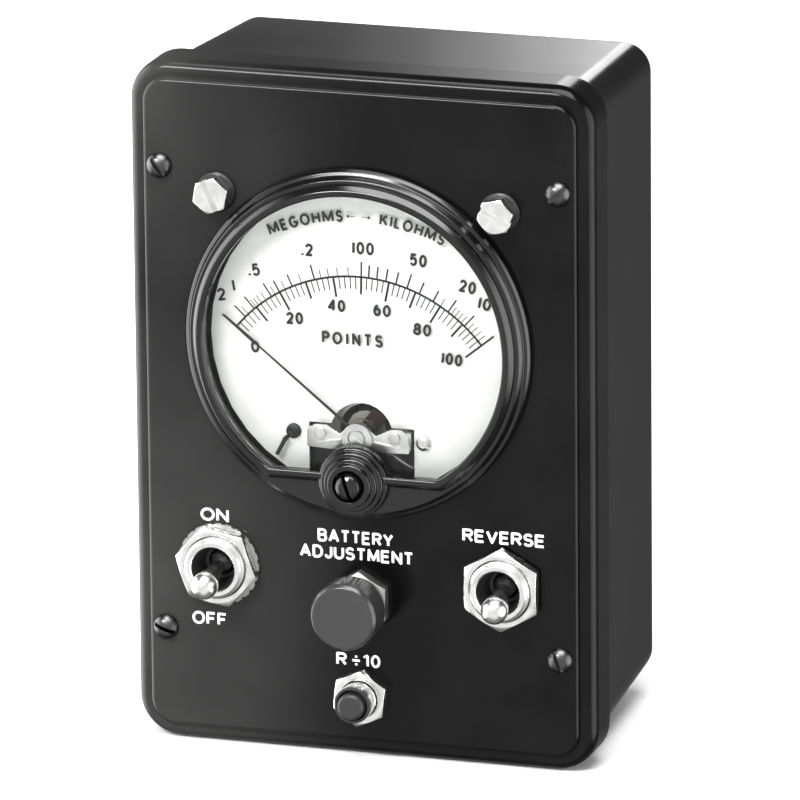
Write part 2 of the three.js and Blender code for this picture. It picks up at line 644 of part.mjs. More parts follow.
function addControl() {
  const place = assembly(0, 0, control.z);
  const { bushing, bushingFront, nutFlats, nutFront, shaft, bodyBack } = control;
  piece(place, 'adjust_control_body', controlBody(), 'plated');
  const sleeve = ring(shaft + 0.2, bushing, -bushingFront, cover.panel + 0.35);
  piece(place, 'adjust_control_bushing', sleeve, 'plated');
  const nut = hexagon(nutFlats, -nutFront, -SEAT, 0, 1).subtract(disc(bushing + GAP, -10, 5));
  piece(place, 'adjust_control_nut', nut, 'plated');
  const collar = disc(shaft + 0.9, cover.panel + 0.7, bodyBack - 3);
  const rotor = joined(disc(shaft, -knob.front + 2.2, bodyBack - 3), collar);
  piece(place, 'adjust_control_shaft', rotor, 'plated');
  const hole = upright(setScrew.radius + knob.fit, -knob.radius - 1, -shaft + 0.5);
  piece(place, 'adjust_knob', knobBody().subtract(hole), 'knobPhenolic');
  const screw = upright(setScrew.radius, -knob.radius + setScrew.sink, -shaft - knob.fit);
  piece(place, 'adjust_knob_set_screw', screw, 'blackened');
}

// ---------------------------------------------------------------- push button
function addButton() {
  const place = assembly(0, 0, button.z);
  const { bushing, bore, front, nutFlats, nutFront, plunger, plungerFront, bodyBack, body } = button;
  const bodyFront = cover.panel + 0.4;
  const box = slab(roundedRectangle(body, body, 1), bodyFront, bodyBack, 0.4);
  const cavity = disc(3.6, bodyFront - 1, bodyBack - 1.5);
  const lugs = [-2.5, 2.5].map((x) => block(x - 0.4, x + 0.4, bodyBack - 1, bodyBack + 5, -1.3, 1.3));
  piece(place, 'push_switch_body', joined(box.subtract(cavity), ...lugs), 'laminate');
  const sleeve = [
    [bore, -front], [bushing - 0.3, -front], [bushing, -front + 0.3], [bushing, bodyFront - SEAT],
    [bore, bodyFront - SEAT], [bore, -front],
  ];
  piece(place, 'push_switch_bushing', turned(sleeve), 'plated');
  const nut = hexagon(nutFlats, -nutFront, -SEAT, 0.11, 1).subtract(disc(bushing + GAP, -10, 5));
  piece(place, 'push_switch_nut', nut, 'plated');
  const stem = [
    [0, -plungerFront], [plunger - 0.7, -plungerFront + 0.05], [plunger - 0.2, -plungerFront + 0.4],
    [plunger, -plungerFront + 1.1],
    [plunger, bodyFront + 0.6], [3.3, bodyFront + 0.6], [3.3, bodyFront + 1.6],
    [1.6, bodyFront + 1.6], [1.6, bodyFront + 3.6], [0, bodyFront + 3.6],
  ];
  piece(place, 'push_button', turned(stem), 'phenolic');
  const wire = new THREE.Shape().absarc(0, 0, 0.28, 0, 2 * Math.PI);
  const path = new Helix(2.5, bodyFront + 2.1, bodyBack - 2.0, 5);
  const sweep = { steps: 60, curveSegments: 2, bevelEnabled: false, extrudePath: path };
  piece(place, 'push_button_spring', solid(new THREE.ExtrudeGeometry(wire, sweep)), 'silver');
}

// ---------------------------------------------------------------- test-lead terminals
function addTerminal(name, side, turn, slotTurn) {
  const place = assembly(side * terminal.x, 0, terminal.z);
  const { flats, washer, washerThickness, headHeight, shank, slotWidth, slotDepth } = terminal;
  const headBack = -washerThickness - 2 * SEAT;
  const headFront = headBack - headHeight;
  const screw = joined(hexagon(flats, headFront, headBack, turn, 1), disc(shank, headBack - 0.5, 11));
  const headed = slotted(screw, headFront, slotDepth, slotWidth, 2 * flats, slotTurn);
  piece(place, `terminal_screw_${name}`, headed, 'plated');
  const dish = ring(shank + GAP, washer, -washerThickness - SEAT, -SEAT);
  piece(place, `terminal_washer_${name}`, dish, 'plated');
  const insert = hexagon(8, cover.panel + SEAT, 8.2, 0.4).subtract(disc(shank + GAP, 0, 20));
  piece(place, `terminal_insert_${name}`, insert, 'brass');
}

// ---------------------------------------------------------------- battery and circuit board
function addPower() {
  const half = { x: 13, y: 8, z: 25 };
  const place = assembly(0, 43.4, -34.5);
  const cell = slab(roundedRectangle(2 * half.x, 2 * half.z, 1.5), -half.y, half.y, 0.8);
  const posts = [-6.5, 6.5].map((x) =>
    solid(new THREE.CylinderGeometry(2.6, 2.6, 3, 16).rotateX(Math.PI / 2).translate(x, 0, half.z + 1)));
  piece(place, 'battery', joined(cell, ...posts), 'battery');
  const clip = { gap: 0.35, sheet: 0.8, low: -9, high: 9, reach: 10 };
  const outer = half.x + clip.gap + clip.sheet;
  const back = half.y + clip.gap;
  const strap = block(-outer, outer, back - clip.reach, back + clip.sheet, clip.low, clip.high);
  const room = block(-half.x - clip.gap, half.x + clip.gap, -half.y - 5, back, clip.low - 1, clip.high + 1);
  piece(place, 'battery_clip', strap.subtract(room), 'silver');

  const boardPlace = assembly(0, 0, meter.z + stud.z);
  const holes = [-stud.x, stud.x].map((x) => disc(stud.shank + GAP, 0, 60, x, 0));
  const board = slab(roundedRectangle(48, 34, 2), 29.0, 30.6);
  piece(boardPlace, 'circuit_board', cut(board, ...holes), 'laminate');
  const profile = [[0, -4.5], [1.3, -4.5], [1.5, -4.2], [1.5, -3.2], [1.25, -2.9]];
  const mirrored = profile.map(([r, y]) => [r, -y]).reverse();
  const points = [...profile, ...mirrored].map(([r, y]) => new THREE.Vector2(r, y));
  const resistor = new THREE.LatheGeometry(points, 16).rotateZ(Math.PI / 2).translate(0, 32.2, -10);
  piece(boardPlace, 'calibration_resistor', solid(resistor), 'resistor');
}

addCasing();
addMeter();
addToggle('power', -1, Math.PI / 6 + 0.19, 8.1, 0);
addToggle('reverse', 1, 0, 6.9, 5);
addControl();
addButton();
addTerminal('left', -1, 0.45, 1.15);
addTerminal('right', 1, 0.25, 0.47);
addPower();

export default tester;
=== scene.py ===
"""Insulation resistance tester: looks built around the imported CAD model.

Tables hold millimetres in panel coordinates: x to the right, y into the case from the face of
the front panel, z up from the middle of the panel. place() turns them into the model's frame.
"""
import math

import bmesh
import bpy
from mathutils import Matrix, Vector


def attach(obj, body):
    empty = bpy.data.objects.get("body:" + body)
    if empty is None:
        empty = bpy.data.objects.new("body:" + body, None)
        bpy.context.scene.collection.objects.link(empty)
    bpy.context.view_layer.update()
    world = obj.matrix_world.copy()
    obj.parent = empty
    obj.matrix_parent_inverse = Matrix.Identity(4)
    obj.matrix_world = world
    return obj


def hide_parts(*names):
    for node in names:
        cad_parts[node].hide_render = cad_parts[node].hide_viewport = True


MM = 0.001
PANEL = Vector((0.0, -21.45, 67.35))
WIDTH, HEIGHT, DEPTH = 92.1, 134.7, 55.4
COVER_DEPTH = 11.4
CASE_INSET = 2.1
DRAFT = math.tan(math.radians(2.5))
CORNER = 8.0
PANEL_THICKNESS = 3.2
METER_Z = 15.0
CHORD = -24.6
BOSS_Z = -26.3
PIVOT_Z = METER_Z - 18.35
SCALE_HALF_ANGLE = 51.0
SCALE_CENTRE = (-0.4, PIVOT_Z - 0.3)
TOGGLE_Z, TOGGLE_X = -31.0, 28.5
LEVER_PIVOT_Y, LEVER_ANGLE = 1.0, 10.0
CONTROL_Z, BUTTON_Z = -36.0, -55.1
TERMINAL = (28.2, 42.7)
WINDOW = 29.8
FLANGE = 34.4
SCALE_ARC = 31.4
LETTER_ARC = 43.1
LEGEND_HEIGHT, LEGEND_WEIGHT = 2.6, 0.5
NUT_FLATS = {"toggle": 14.29, "control": 10.7, "button": 9.9, "terminal": 6.35}
# Where the painted sheen on the case runs from full at the left edge to nothing.
SHEEN_START, SHEEN_END = -46.0, 2.0
ROOT = "instrument"


def place(x, y, z):
    return (Vector((x, y, z)) + PANEL) * MM


# ---------------------------------------------------------------- material helpers
class Finish:
    """A material whose Principled shader is fed by nodes in object coordinates, in millimetres."""

    def __init__(self, name, **shader):
        self.material = bpy.data.materials.new(name)
        self.material.use_nodes = True
        self.tree = self.material.node_tree
        self.shader = self.tree.nodes["Principled BSDF"]
        for socket, value in shader.items():
            self.shader.inputs[socket.replace("_", " ")].default_value = value
        coordinates = self.tree.nodes.new("ShaderNodeTexCoord")
        inputs = {0: coordinates.outputs["Object"], 1: (1 / MM, 1 / MM, 1 / MM)}
        self.mm = self.add("VectorMath", inputs, operation="MULTIPLY").outputs[0]

    def add(self, kind, inputs, **properties):
        node = self.tree.nodes.new("ShaderNode" + kind)
        for key, value in properties.items():
            setattr(node, key, value)
        for socket, value in inputs.items():
            if isinstance(value, bpy.types.NodeSocket):
                self.tree.links.new(value, node.inputs[socket])
            else:
                node.inputs[socket].default_value = value
        return node

    def noise(self, scale, detail=3.0, roughness=0.55, stretch=None):
        vector = self.mm
        if stretch:
            vector = self.add("VectorMath", {0: vector, 1: stretch}, operation="MULTIPLY").outputs[0]
        inputs = {"Vector": vector, "Scale": scale, "Detail": detail, "Roughness": roughness}
        return self.add("TexNoise", inputs).outputs["Fac"]

    def ramp(self, value, low, high, start=0.3, end=0.7):
        """A number that runs from low to high as value runs from start to end."""
        inputs = {"Value": value, "From Min": start, "From Max": end, "To Min": low, "To Max": high}
        return self.add("MapRange", inputs).outputs["Result"]

    def tint(self, factor, first, second):
        """A colour that runs from first to second with factor."""
        mix = self.add("Mix", {"Factor": factor}, data_type="RGBA")
        mix.inputs[6].default_value = (*first, 1)
        mix.inputs[7].default_value = (*second, 1)
        return mix.outputs[2]

    def painted_sheen_left(self, strength):
        """Painted sheen: a pale tint, strongest at the left edge, that fades over the middle and is broken up
        by clouds.
        """
        axes = self.add("SeparateXYZ", {0: self.mm})
        left = self.ramp(axes.outputs[0], strength, 0.0, SHEEN_START, SHEEN_END)
        cloud = self.ramp(self.noise(0.02, detail=2.0), 0.3, 1.0, 0.35, 0.65)
        return self.add("Math", {0: left, 1: cloud}, operation="MULTIPLY").outputs[0]

    def total(self, first, second):
        return self.add("Math", {0: first, 1: second}, operation="ADD").outputs[0]

    def drive(self, socket, value):
        self.tree.links.new(value, self.shader.inputs[socket])

    def bump(self, layers):
        """layers: (height, depth in mm) pairs laid over each other."""
        normal = None
        for height, depth in layers:
            inputs = {"Height": height, "Distance": depth * MM, "Strength": 1.0}
            if normal:
                inputs["Normal"] = normal
            normal = self.add("Bump", inputs).outputs["Normal"]
        self.drive("Normal", normal)


def phenolic(name, roughness, shade, ior=1.3, painted_sheen_level=0.0):
    """Black compression moulding: gloss, faint flow marks, a painted sheen towards the left edge, specks of
    dust, fine scratches.
    """
    finish = Finish(name, Roughness=roughness, IOR=ior)
    flow = finish.noise(0.05, detail=4.0)
    wear = finish.noise(0.11, detail=5.0, roughness=0.62)
    dust = finish.ramp(finish.noise(2.6, detail=2.0), 0.0, 1.0, 0.70, 0.77)
    scratches = finish.ramp(finish.noise(0.55, detail=2.0, stretch=(1.0, 1.0, 14.0)), 0.0, 1.0, 0.69, 0.75)
    dust_flow_and_painted_sheen = finish.total(finish.painted_sheen_left(painted_sheen_level), finish.ramp(flow, 0.0, 0.003))
    dust_flow_and_painted_sheen = finish.total(dust_flow_and_painted_sheen, finish.ramp(dust, 0.0, 0.012, 0.0, 1.0))
    finish.drive("Base Color", finish.tint(dust_flow_and_painted_sheen, (shade, shade, shade), (1.0, 0.99, 0.97)))
    base = finish.ramp(wear, roughness * 0.92, roughness * 1.12)
    finish.drive("Roughness", finish.total(base, finish.ramp(scratches, 0.0, 0.1, 0.0, 1.0)))
    finish.bump([(flow, 0.004), (finish.noise(1.4, detail=4.0), 0.0008), (scratches, -0.0006)])
    return finish.material


def metal(name, colour, roughness, grain=0.0012, turned=False):
    """Bright metal: fine tool grain, duller patches, and a little tarnish."""
    finish = Finish(name, Roughness=roughness, Metallic=1.0)
    patches = finish.noise(0.35, detail=4.0)
    stretch = (1.0, 9.0, 1.0) if turned else (3.0, 1.0, 3.0)
    lines = finish.noise(2.4, detail=3.0, stretch=stretch)
    dull = tuple(channel * 0.72 for channel in colour)
    finish.drive("Base Color", finish.tint(finish.ramp(patches, 0.0, 1.0, 0.35, 0.75), colour, dull))
    finish.drive("Roughness", finish.ramp(patches, roughness * 0.75, roughness * 1.6))
    finish.bump([(lines, grain), (finish.noise(0.9), grain)])
    return finish.material


def enamel():
    """White dial paint: a trace of mottle and orange peel."""
    finish = Finish("dial_enamel", Roughness=0.45, IOR=1.45)
    mottle = finish.noise(0.25, detail=5.0)
    shade = finish.ramp(mottle, 0.0, 1.0)
    finish.drive("Base Color", finish.tint(shade, (0.86, 0.86, 0.84), (0.80, 0.80, 0.775)))
    finish.drive("Roughness", finish.ramp(finish.noise(1.2), 0.4, 0.55))
    finish.bump([(finish.noise(3.0), 0.002)])
    return finish.material


def ink(name, colour, variation):
    """Printed or filled lettering, slightly uneven in density."""
    finish = Finish(name, Roughness=0.55, IOR=1.4)
    spots = finish.noise(2.2, detail=4.0)
    other = tuple(channel + variation for channel in colour)
    finish.drive("Base Color", finish.tint(finish.ramp(spots, 0.0, 1.0, 0.45, 0.75), colour, other))
    finish.bump([(spots, 0.004)])
    return finish.material


def clear_glass():
    """Thin window glass: see-through, with a weak mirror that grows towards grazing angles."""
    material = bpy.data.materials.new("window_glass")
    material.use_nodes = True
    nodes, links = material.node_tree.nodes, material.node_tree.links
    nodes.clear()
    fresnel = nodes.new("ShaderNodeFresnel")
    fresnel.inputs["IOR"].default_value = 1.3
    through = nodes.new("ShaderNodeBsdfTransparent")
    through.inputs["Color"].default_value = (0.985, 0.99, 0.988, 1)
    mirror = nodes.new("ShaderNodeBsdfGlossy")
    mirror.inputs["Roughness"].default_value = 0.03
    mix = nodes.new("ShaderNodeMixShader")
    output = nodes.new("ShaderNodeOutputMaterial")
    links.new(fresnel.outputs[0], mix.inputs[0])
    links.new(through.outputs[0], mix.inputs[1])
    links.new(mirror.outputs[0], mix.inputs[2])
    links.new(mix.outputs[0], output.inputs["Surface"])
    return material


def matte(name, colour, roughness, scale, contrast=0.25):
    """A dull non-metal surface with mottled colour and a fine grain."""
    finish = Finish(name, Roughness=roughness)
    blotches = finish.noise(scale, detail=5.0)
    dark = tuple(channel * (1 - contrast) for channel in colour)
    finish.drive("Base Color", finish.tint(finish.ramp(blotches, 0.0, 1.0), colour, dark))
    finish.drive("Roughness", finish.ramp(blotches, roughness * 0.85, min(1.0, roughness * 1.2)))
    finish.bump([(finish.noise(scale * 6), 0.01)])
    return finish.material


# ---------------------------------------------------------------- mesh helpers
def new_object(name, mesh, origin, material, body=ROOT, stands_for=(), slot=None, smooth=35):
    """Puts a finished mesh into the scene, riding on its body."""
    if smooth:
        mesh.polygons.foreach_set("use_smooth", [True] * len(mesh.polygons))
        mesh.set_sharp_from_angle(angle=math.radians(smooth))
    mesh.materials.append(material)
    obj = bpy.data.objects.new(name, mesh)
    obj.location = origin
    bpy.context.scene.collection.objects.link(obj)
    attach(obj, body)
    if stands_for:
        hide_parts(*stands_for)
    return obj


def to_mesh(name, bm):
    bmesh.ops.remove_doubles(bm, verts=bm.verts, dist=1e-7)
    bmesh.ops.recalc_face_normals(bm, faces=bm.faces)
    mesh = bpy.data.meshes.new(name)
    bm.to_mesh(mesh)
    bm.free()
    return mesh


def filleted(points, steps=6):
    """A polyline of (r, y, fillet radius) corners as plain (r, y) points with the corners rounded."""
    result = []
    for i, (r, y, fillet) in enumerate(points):
        if fillet <= 0 or i in (0, len(points) - 1):
            result.append((r, y))
            continue
        corner = Vector((r, y))
        to_last = Vector(points[i - 1][:2]) - corner
        to_next = Vector(points[i + 1][:2]) - corner
        half = to_last.angle(to_next) / 2
        reach = min(fillet / math.tan(half), 0.49 * to_last.length, 0.49 * to_next.length)
        start, end = corner + to_last.normalized() * reach, corner + to_next.normalized() * reach
        for step in range(steps + 1):
            t = step / steps
            point = start * (1 - t) ** 2 + corner * 2 * t * (1 - t) + end * t ** 2
            result.append((point.x, point.y))
    return result


def lathe(profile, sides=96):
    """A (r, y) profile turned about the Y axis."""
    bm = bmesh.new()
    rings = []
    for r, y in profile:
        if r < 1e-6:
            rings.append([bm.verts.new((0, y * MM, 0))])
            continue
        turn = [2 * math.pi * k / sides for k in range(sides)]
        rings.append([bm.verts.new((r * MM * math.cos(a), y * MM, r * MM * math.sin(a))) for a in turn])
    for first, second in zip(rings, rings[1:]):
        for k in range(sides):
            corners = [first[k % len(first)], first[(k + 1) % len(first)],
                       second[(k + 1) % len(second)], second[k % len(second)]]
            unique = list(dict.fromkeys(corners))
            if len(unique) > 2:
                bm.faces.new(unique)
    return bm


def turned(name, profile, origin, material, sides=96, **options):
    return new_object(name, to_mesh(name, lathe(filleted(profile), sides)), origin, material, **options)


def rounded_ring(half_width, half_height, radius, steps=14, support=0.35):
    """Corner-rounded rectangle as (x, z) points, with a point just off each end of its straight sides."""
    points = []
    for quarter, (sx, sz) in enumerate(((1, 1), (-1, 1), (-1, -1), (1, -1))):
        centre = Vector((sx * (half_width - radius), sz * (half_height - radius)))
        turn = [math.pi / 2 * (quarter + step / steps) for step in range(steps + 1)]
        arc = [centre + radius * Vector((math.cos(a), math.sin(a))) for a in turn]
        before, after = (Vector((math.sin(a), -math.cos(a))) * support for a in (turn[0], turn[-1]))
        points += [arc[0] + before, *arc, arc[-1] - after]
    return [(p.x, p.y) for p in points]


def circle(radius, x=0.0, z=0.0, sides=48):
    turn = [2 * math.pi * k / sides for k in range(sides)]
    return [(x + radius * math.cos(a), z + radius * math.sin(a)) for a in turn]


def add_ring(bm, points, y):
    return [bm.verts.new((x * MM, y * MM, z * MM)) for x, z in points]


def bridge(bm, first, second):
    count = len(first)
    for k in range(count):
        bm.faces.new((first[k], first[(k + 1) % count], second[(k + 1) % count], second[k]))


def fill(bm, loops):
    """Faces over the flat area inside the first loop and outside the others."""
    edges = []
    for loop in loops:
        for k, vertex in enumerate(loop):
            other = loop[(k + 1) % len(loop)]
            edges.append(bm.edges.get((vertex, other)) or bm.edges.new((vertex, other)))
    bmesh.ops.triangle_fill(bm, use_beauty=True, edges=edges)


def loft(sections):
    """sections: (inset from the panel outline, y, corner radius) rings joined into a skin."""
    bm = bmesh.new()
    rings = []
    for inset, y, radius in sections:
        outline = rounded_ring(WIDTH / 2 - inset, HEIGHT / 2 - inset, radius)
        rings.append(add_ring(bm, outline, y))
    for first, second in zip(rings, rings[1:]):
        bridge(bm, first, second)
    return bm, rings


def bevelled(mesh, width, segments=3, angle=30):
    """The same mesh with its sharp edges rounded."""
    bm = bmesh.new()
    bm.from_mesh(mesh)
    sharp = [e for e in bm.edges if len(e.link_faces) == 2 and e.calc_face_angle() > math.radians(angle)]
    bmesh.ops.bevel(bm, geom=sharp, offset=width * MM, segments=segments, profile=0.5, affect="EDGES",
                    clamp_overlap=True)
    bm.to_mesh(mesh)
    bm.free()
    return mesh


def subtract(obj, cutter_mesh):
    """Cuts a mesh away from an object's mesh and keeps the result as plain faces."""
    cutter = bpy.data.objects.new("cutter", cutter_mesh)
    cutter.location = obj.location
    bpy.context.scene.collection.objects.link(cutter)
    modifier = obj.modifiers.new("cut", "BOOLEAN")
    modifier.operation = "DIFFERENCE"
    modifier.solver = "EXACT"
    modifier.object = cutter
    evaluated = obj.evaluated_get(bpy.context.evaluated_depsgraph_get())
    result = bpy.data.meshes.new_from_object(evaluated)
    obj.modifiers.clear()
    result.polygons.foreach_set("use_smooth", [True] * len(result.polygons))
    result.set_sharp_from_angle(angle=math.radians(35))
    obj.data = result
    bpy.data.objects.remove(cutter)


def box_mesh(size, turn=0.0, centre=(0, 0, 0)):
    """A box in mm, turned about Y."""
    bm = bmesh.new()
    bmesh.ops.create_cube(bm, size=1.0)
    matrix = Matrix.Translation(Vector(centre) * MM) @ Matrix.Rotation(turn, 4, "Y")
    bmesh.ops.transform(bm, matrix=matrix @ Matrix.Diagonal((*(Vector(size) * MM), 1)), verts=bm.verts)
    return to_mesh("box", bm)


def hexagon(name, flats, y_front, y_back, turn, origin, material, hole=0.0, **options):
    """Hex nut or head about Y: chamfered front corners, an optional hole, softened edges."""
    sides = 72
    face = flats / 2 - 0.12
    slope = 0.52
    inner = max(hole, 0.02)
    bm = bmesh.new()
    rings = [[] for _ in range(5)]
    for k in range(sides):
        angle = 2 * math.pi * k / sides
        outer = flats / 2 / math.cos((angle % (math.pi / 3)) - math.pi / 6)
        drop = max(0.0, outer - face) * slope
        spin = angle + turn
        row = [(inner, y_front), (min(face, outer), y_front), (outer, y_front + drop), (outer, y_back),
               (inner, y_back)]
        for ring, (r, y) in zip(rings, row):
            ring.append(bm.verts.new((r * MM * math.cos(spin), y * MM, r * MM * math.sin(spin))))
    for first, second in zip(rings, rings[1:] + rings[:1]):
        bridge(bm, first, second)
    mesh = bevelled(to_mesh(name, bm), 0.09, 2, 25)
    return new_object(name, mesh, origin, material, **options)


# ---------------------------------------------------------------- casing
SCREWS = (("top_left", -39.5, 47.1, 0.9), ("top_right", 39.5, 47.1, -0.75),
          ("bottom_left", -39.5, -44.6, 0.35), ("bottom_right", 39.5, -44.6, 1.2))


def front_cover(material):
    """Stepped rim, shallow skirt and a flat panel with its holes."""
    sections = [(3.0, COVER_DEPTH, 5.0), (0.3, COVER_DEPTH, 7.7), (0.08, COVER_DEPTH - 0.1, 7.92),
                (0.0, COVER_DEPTH - 0.35, CORNER), (0.0, COVER_DEPTH - 0.6, CORNER), (0.0, 4.3, CORNER)]
    shoulder = 2.25
    for step in range(0, 10):
        angle = math.pi / 2 * step / 10
        inset = shoulder * (1 - math.cos(angle))
        sections.append((inset, 1.35 + shoulder * (1 - math.sin(angle)) * 1.15, CORNER - inset))
    sections += [(2.45, 1.33, 5.6), (2.75, 1.42, 5.3), (2.98, 1.38, 5.05), (3.02, 1.2, 5.0)]
    edge = 1.15
    for step in range(0, 8):
        angle = math.pi / 2 * step / 8
        inset = 3.05 + edge * (1 - math.cos(angle))
        sections.append((inset, edge * (1 - math.sin(angle)), CORNER - inset))
    sections += [(4.22, 0.0, 3.8), (4.5, 0.0, 3.6)]
    bm, rings = loft(sections)
    holes = [circle(32.2, 0, METER_Z, 96), circle(4.7, 0, CONTROL_Z), circle(3.9, 0, BUTTON_Z)]
    for side in (-1, 1):
        holes += [circle(6.25, side * TOGGLE_X, TOGGLE_Z), circle(2.25, side * TERMINAL[0], TERMINAL[1])]
    holes += [circle(1.6, x, z, 24) for _, x, z, _ in SCREWS]
    hole_rings = [add_ring(bm, hole, 0.0) for hole in holes]
    fill(bm, [rings[-1], *hole_rings])
    for hole, front in zip(holes, hole_rings):
        bridge(bm, front, add_ring(bm, hole, PANEL_THICKNESS))
    new_object("cover_moulding", to_mesh("cover_moulding", bm), place(0, 0, 0), material,
               stands_for=["front_cover"], slot="phenolic", smooth=40)


def rear_case(material):
    """Deep box with moulding draft and a rounded back edge."""
    front = COVER_DEPTH + 0.3
    edge = 2.4

    def inset_at(y):
        return CASE_INSET + (y - front) * DRAFT

    sections = [(CASE_INSET + 2.8, front, 3.0), (CASE_INSET + 0.3, front, 5.3),
                (CASE_INSET + 0.08, front + 0.08, 5.52), (CASE_INSET, front + 0.3, 5.6)]
    for y in (front + 0.6, DEPTH - edge - 0.4, DEPTH - edge):
        sections.append((inset_at(y), y, 5.6))
    for step in range(1, 9):
        angle = math.pi / 2 * step / 8
        y = DEPTH - edge * (1 - math.sin(angle))
        sections.append((inset_at(y) + edge * (1 - math.cos(angle)), y, 5.6 - 0.9 * step / 8))
    last = sections[-1][0]
    sections += [(last + 0.1, DEPTH, 4.6), (last + 0.5, DEPTH, 4.4)]
    bm, rings = loft(sections)
    fill(bm, [rings[-1]])
    new_object("case_moulding", to_mesh("case_moulding", bm), place(0, 0, 0), material,
               stands_for=["rear_case"], slot="phenolic", smooth=40)


def panel_screws(material):
    """Slotted round heads, each slot at its own angle."""
    for name, x, z, turn in SCREWS:
        profile = [(0.001, -2.0, 0), (0.7, -1.95, 0), (1.35, -1.74, 0), (1.9, -1.36, 0), (2.3, -0.83, 0),
                   (2.48, -0.35, 0), (2.5, -0.05, 0), (1.3, -0.05, 0), (1.3, 6.0, 0)]
        head = turned(f"panel_screw_head_{name}", profile, place(x, 0, z), material, sides=48,
                      stands_for=[f"panel_screw_{name}"], slot="blackened")
        subtract(head, box_mesh((7, 1.8, 0.75), turn, (0, -2.0, 0)))


# ---------------------------------------------------------------- meter
def chord_outline(radius, level, arc_steps=120, chord_steps=24):
    """The outline of a disc cut off below a level chord, as (x, z) points round the meter's middle."""
    corner = math.asin(level / radius)
    angles = [corner + (math.pi - 2 * corner) * k / arc_steps for k in range(arc_steps + 1)]
    points = [(radius * math.cos(a), radius * math.sin(a)) for a in angles]
    half = radius * math.cos(corner)
    points += [(-half + 2 * half * k / chord_steps, level) for k in range(1, chord_steps)]
    return points


def window_rim(material, options):
    """Raised rounded rim that follows the round window and its chord."""
    corners = [(0.0, -3.0, 0), (0.0, -5.2, 0.85), (1.15, -5.2, 0.9), (2.1, -4.2, 0.6), (2.35, -3.3, 0)]
    section = filleted(corners, 8)
    bm = bmesh.new()
    rings = [add_ring(bm, chord_outline(WINDOW + out, CHORD - out), y) for out, y in section]
    for first, second in zip(rings, rings[1:]):
        bridge(bm, first, second)
    mesh = to_mesh("meter_window_rim", bm)
    new_object("meter_window_rim", mesh, place(0, 0, METER_Z), material, smooth=45, **options)


def meter_bezel(material):
    """Stepped round flange, the plate below the chord, the rim round the window, and the adjuster's boss."""
    options = {"stands_for": ["meter_bezel"], "slot": "phenolic"}
    profile = [(0.001, -3.6, 0), (31.9, -3.6, 0.4), (32.7, -3.5, 0.5), (33.25, -2.55, 0.6),
               (33.3, -2.2, 0.35), (33.95, -1.9, 0.6), (FLANGE, -1.2, 0.5), (FLANGE, -0.05, 0),
               (31.9, -0.05, 0), (31.9, 12.0, 0), (30.4, 12.0, 0), (30.4, -2.9, 0), (0.001, -2.9, 0)]
    shell = turned("meter_bezel_shell", profile, place(0, 0, METER_Z), material, sides=144, **options)
    bm = bmesh.new()
    outline = chord_outline(WINDOW + 0.3, CHORD - 0.3)
    front, back = add_ring(bm, outline, -8.0), add_ring(bm, outline, -1.0)
    bridge(bm, front, back)
    bm.faces.new(front)
    bm.faces.new(back)
    subtract(shell, to_mesh("window_cut", bm))
    window_rim(material, options)

    boss = [(3.1, -2.9, 0), (3.1, -7.7, 0.25), (4.25, -7.7, 0.5), (4.4, -6.85, 0.15), (5.15, -6.75, 0.5),
            (5.35, -5.95, 0.15), (6.1, -5.8, 0.5), (6.3, -5.05, 0.15), (6.8, -4.85, 0.4), (7.0, -4.2, 0.3),
            (7.0, -2.9, 0), (3.1, -2.9, 0)]
    turned("meter_boss", boss, place(0, 0, METER_Z + BOSS_Z), material, sides=96, **options)


def zero_adjuster(material):
    """Slotted screw in the middle of the boss."""
    profile = [(0.001, -9.0, 0), (1.5, -8.95, 0.5), (2.3, -8.5, 0.6), (2.6, -7.6, 0.4), (2.8, -6.6, 0.2),
               (2.8, -5.0, 0), (1.5, -5.0, 0), (1.5, -2.6, 0), (0.001, -2.6, 0)]
    head = turned("zero_adjuster_head", profile, place(0, 0, METER_Z + BOSS_Z), material, sides=64,
                  body="zero_adjuster_screw", stands_for=["zero_adjuster"], slot="phenolic")
    subtract(head, box_mesh((8, 2.2, 0.7), 1.25, (0, -9.0, 0)))


def prisms(name, parts, origin, material, soften=0.0, turn=0.0, **options):
    """One mesh of flat (outline, y front, y back) pieces, edges softened, turned by turn degrees about Y."""
    bm = bmesh.new()
    for outline, y_front, y_back in parts:
        front, back = add_ring(bm, outline, y_front), add_ring(bm, outline, y_back)
        bridge(bm, front, back)
        bm.faces.new(front)
        bm.faces.new(back)
    bmesh.ops.recalc_face_normals(bm, faces=bm.faces)
    if turn:
        bmesh.ops.rotate(bm, verts=bm.verts, matrix=Matrix.Rotation(math.radians(turn), 3, "Y"))
    mesh = bpy.data.meshes.new(name)
    bm.to_mesh(mesh)
    bm.free()
    if soften:
        bevelled(mesh, soften, 2, 40)
    return new_object(name, mesh, origin, material, **options)


def pointer(material):
    """Tapered needle with a spear tip, a cross arm, and balance weights."""
    right_edge = [(0.3, 1.0), (0.14, 26.0), (0.32, 27.0), (0.2, 34.6)]
    needle = [(-x, z) for x, z in right_edge] + [(0.0, 35.0)] + right_edge[::-1]
    tail = [(-0.35, -5.4), (-0.35, 1.2), (0.35, 1.2), (0.35, -5.4)]
    arm = [(-4.2, -0.35), (-4.2, 0.35), (4.2, 0.35), (4.2, -0.35)]
    weights = ((0.75, 0, -4.9), (0.6, -3.6, 0), (0.6, 3.6, 0))
    parts = [(needle, -0.12, 0.1), (tail, -0.15, 0.25), (arm, -0.16, 0.26)]
    parts.append((circle(1.4, 0, 0, 32), -0.3, 0.4))
    parts += [(circle(radius, x, z, 24), -0.3, 0.4) for radius, x, z in weights]
    prisms("pointer_needle", parts, place(0, 0, PIVOT_Z), material, turn=-SCALE_HALF_ANGLE,
           body="meter_movement", stands_for=["pointer"], slot="pointer_black")


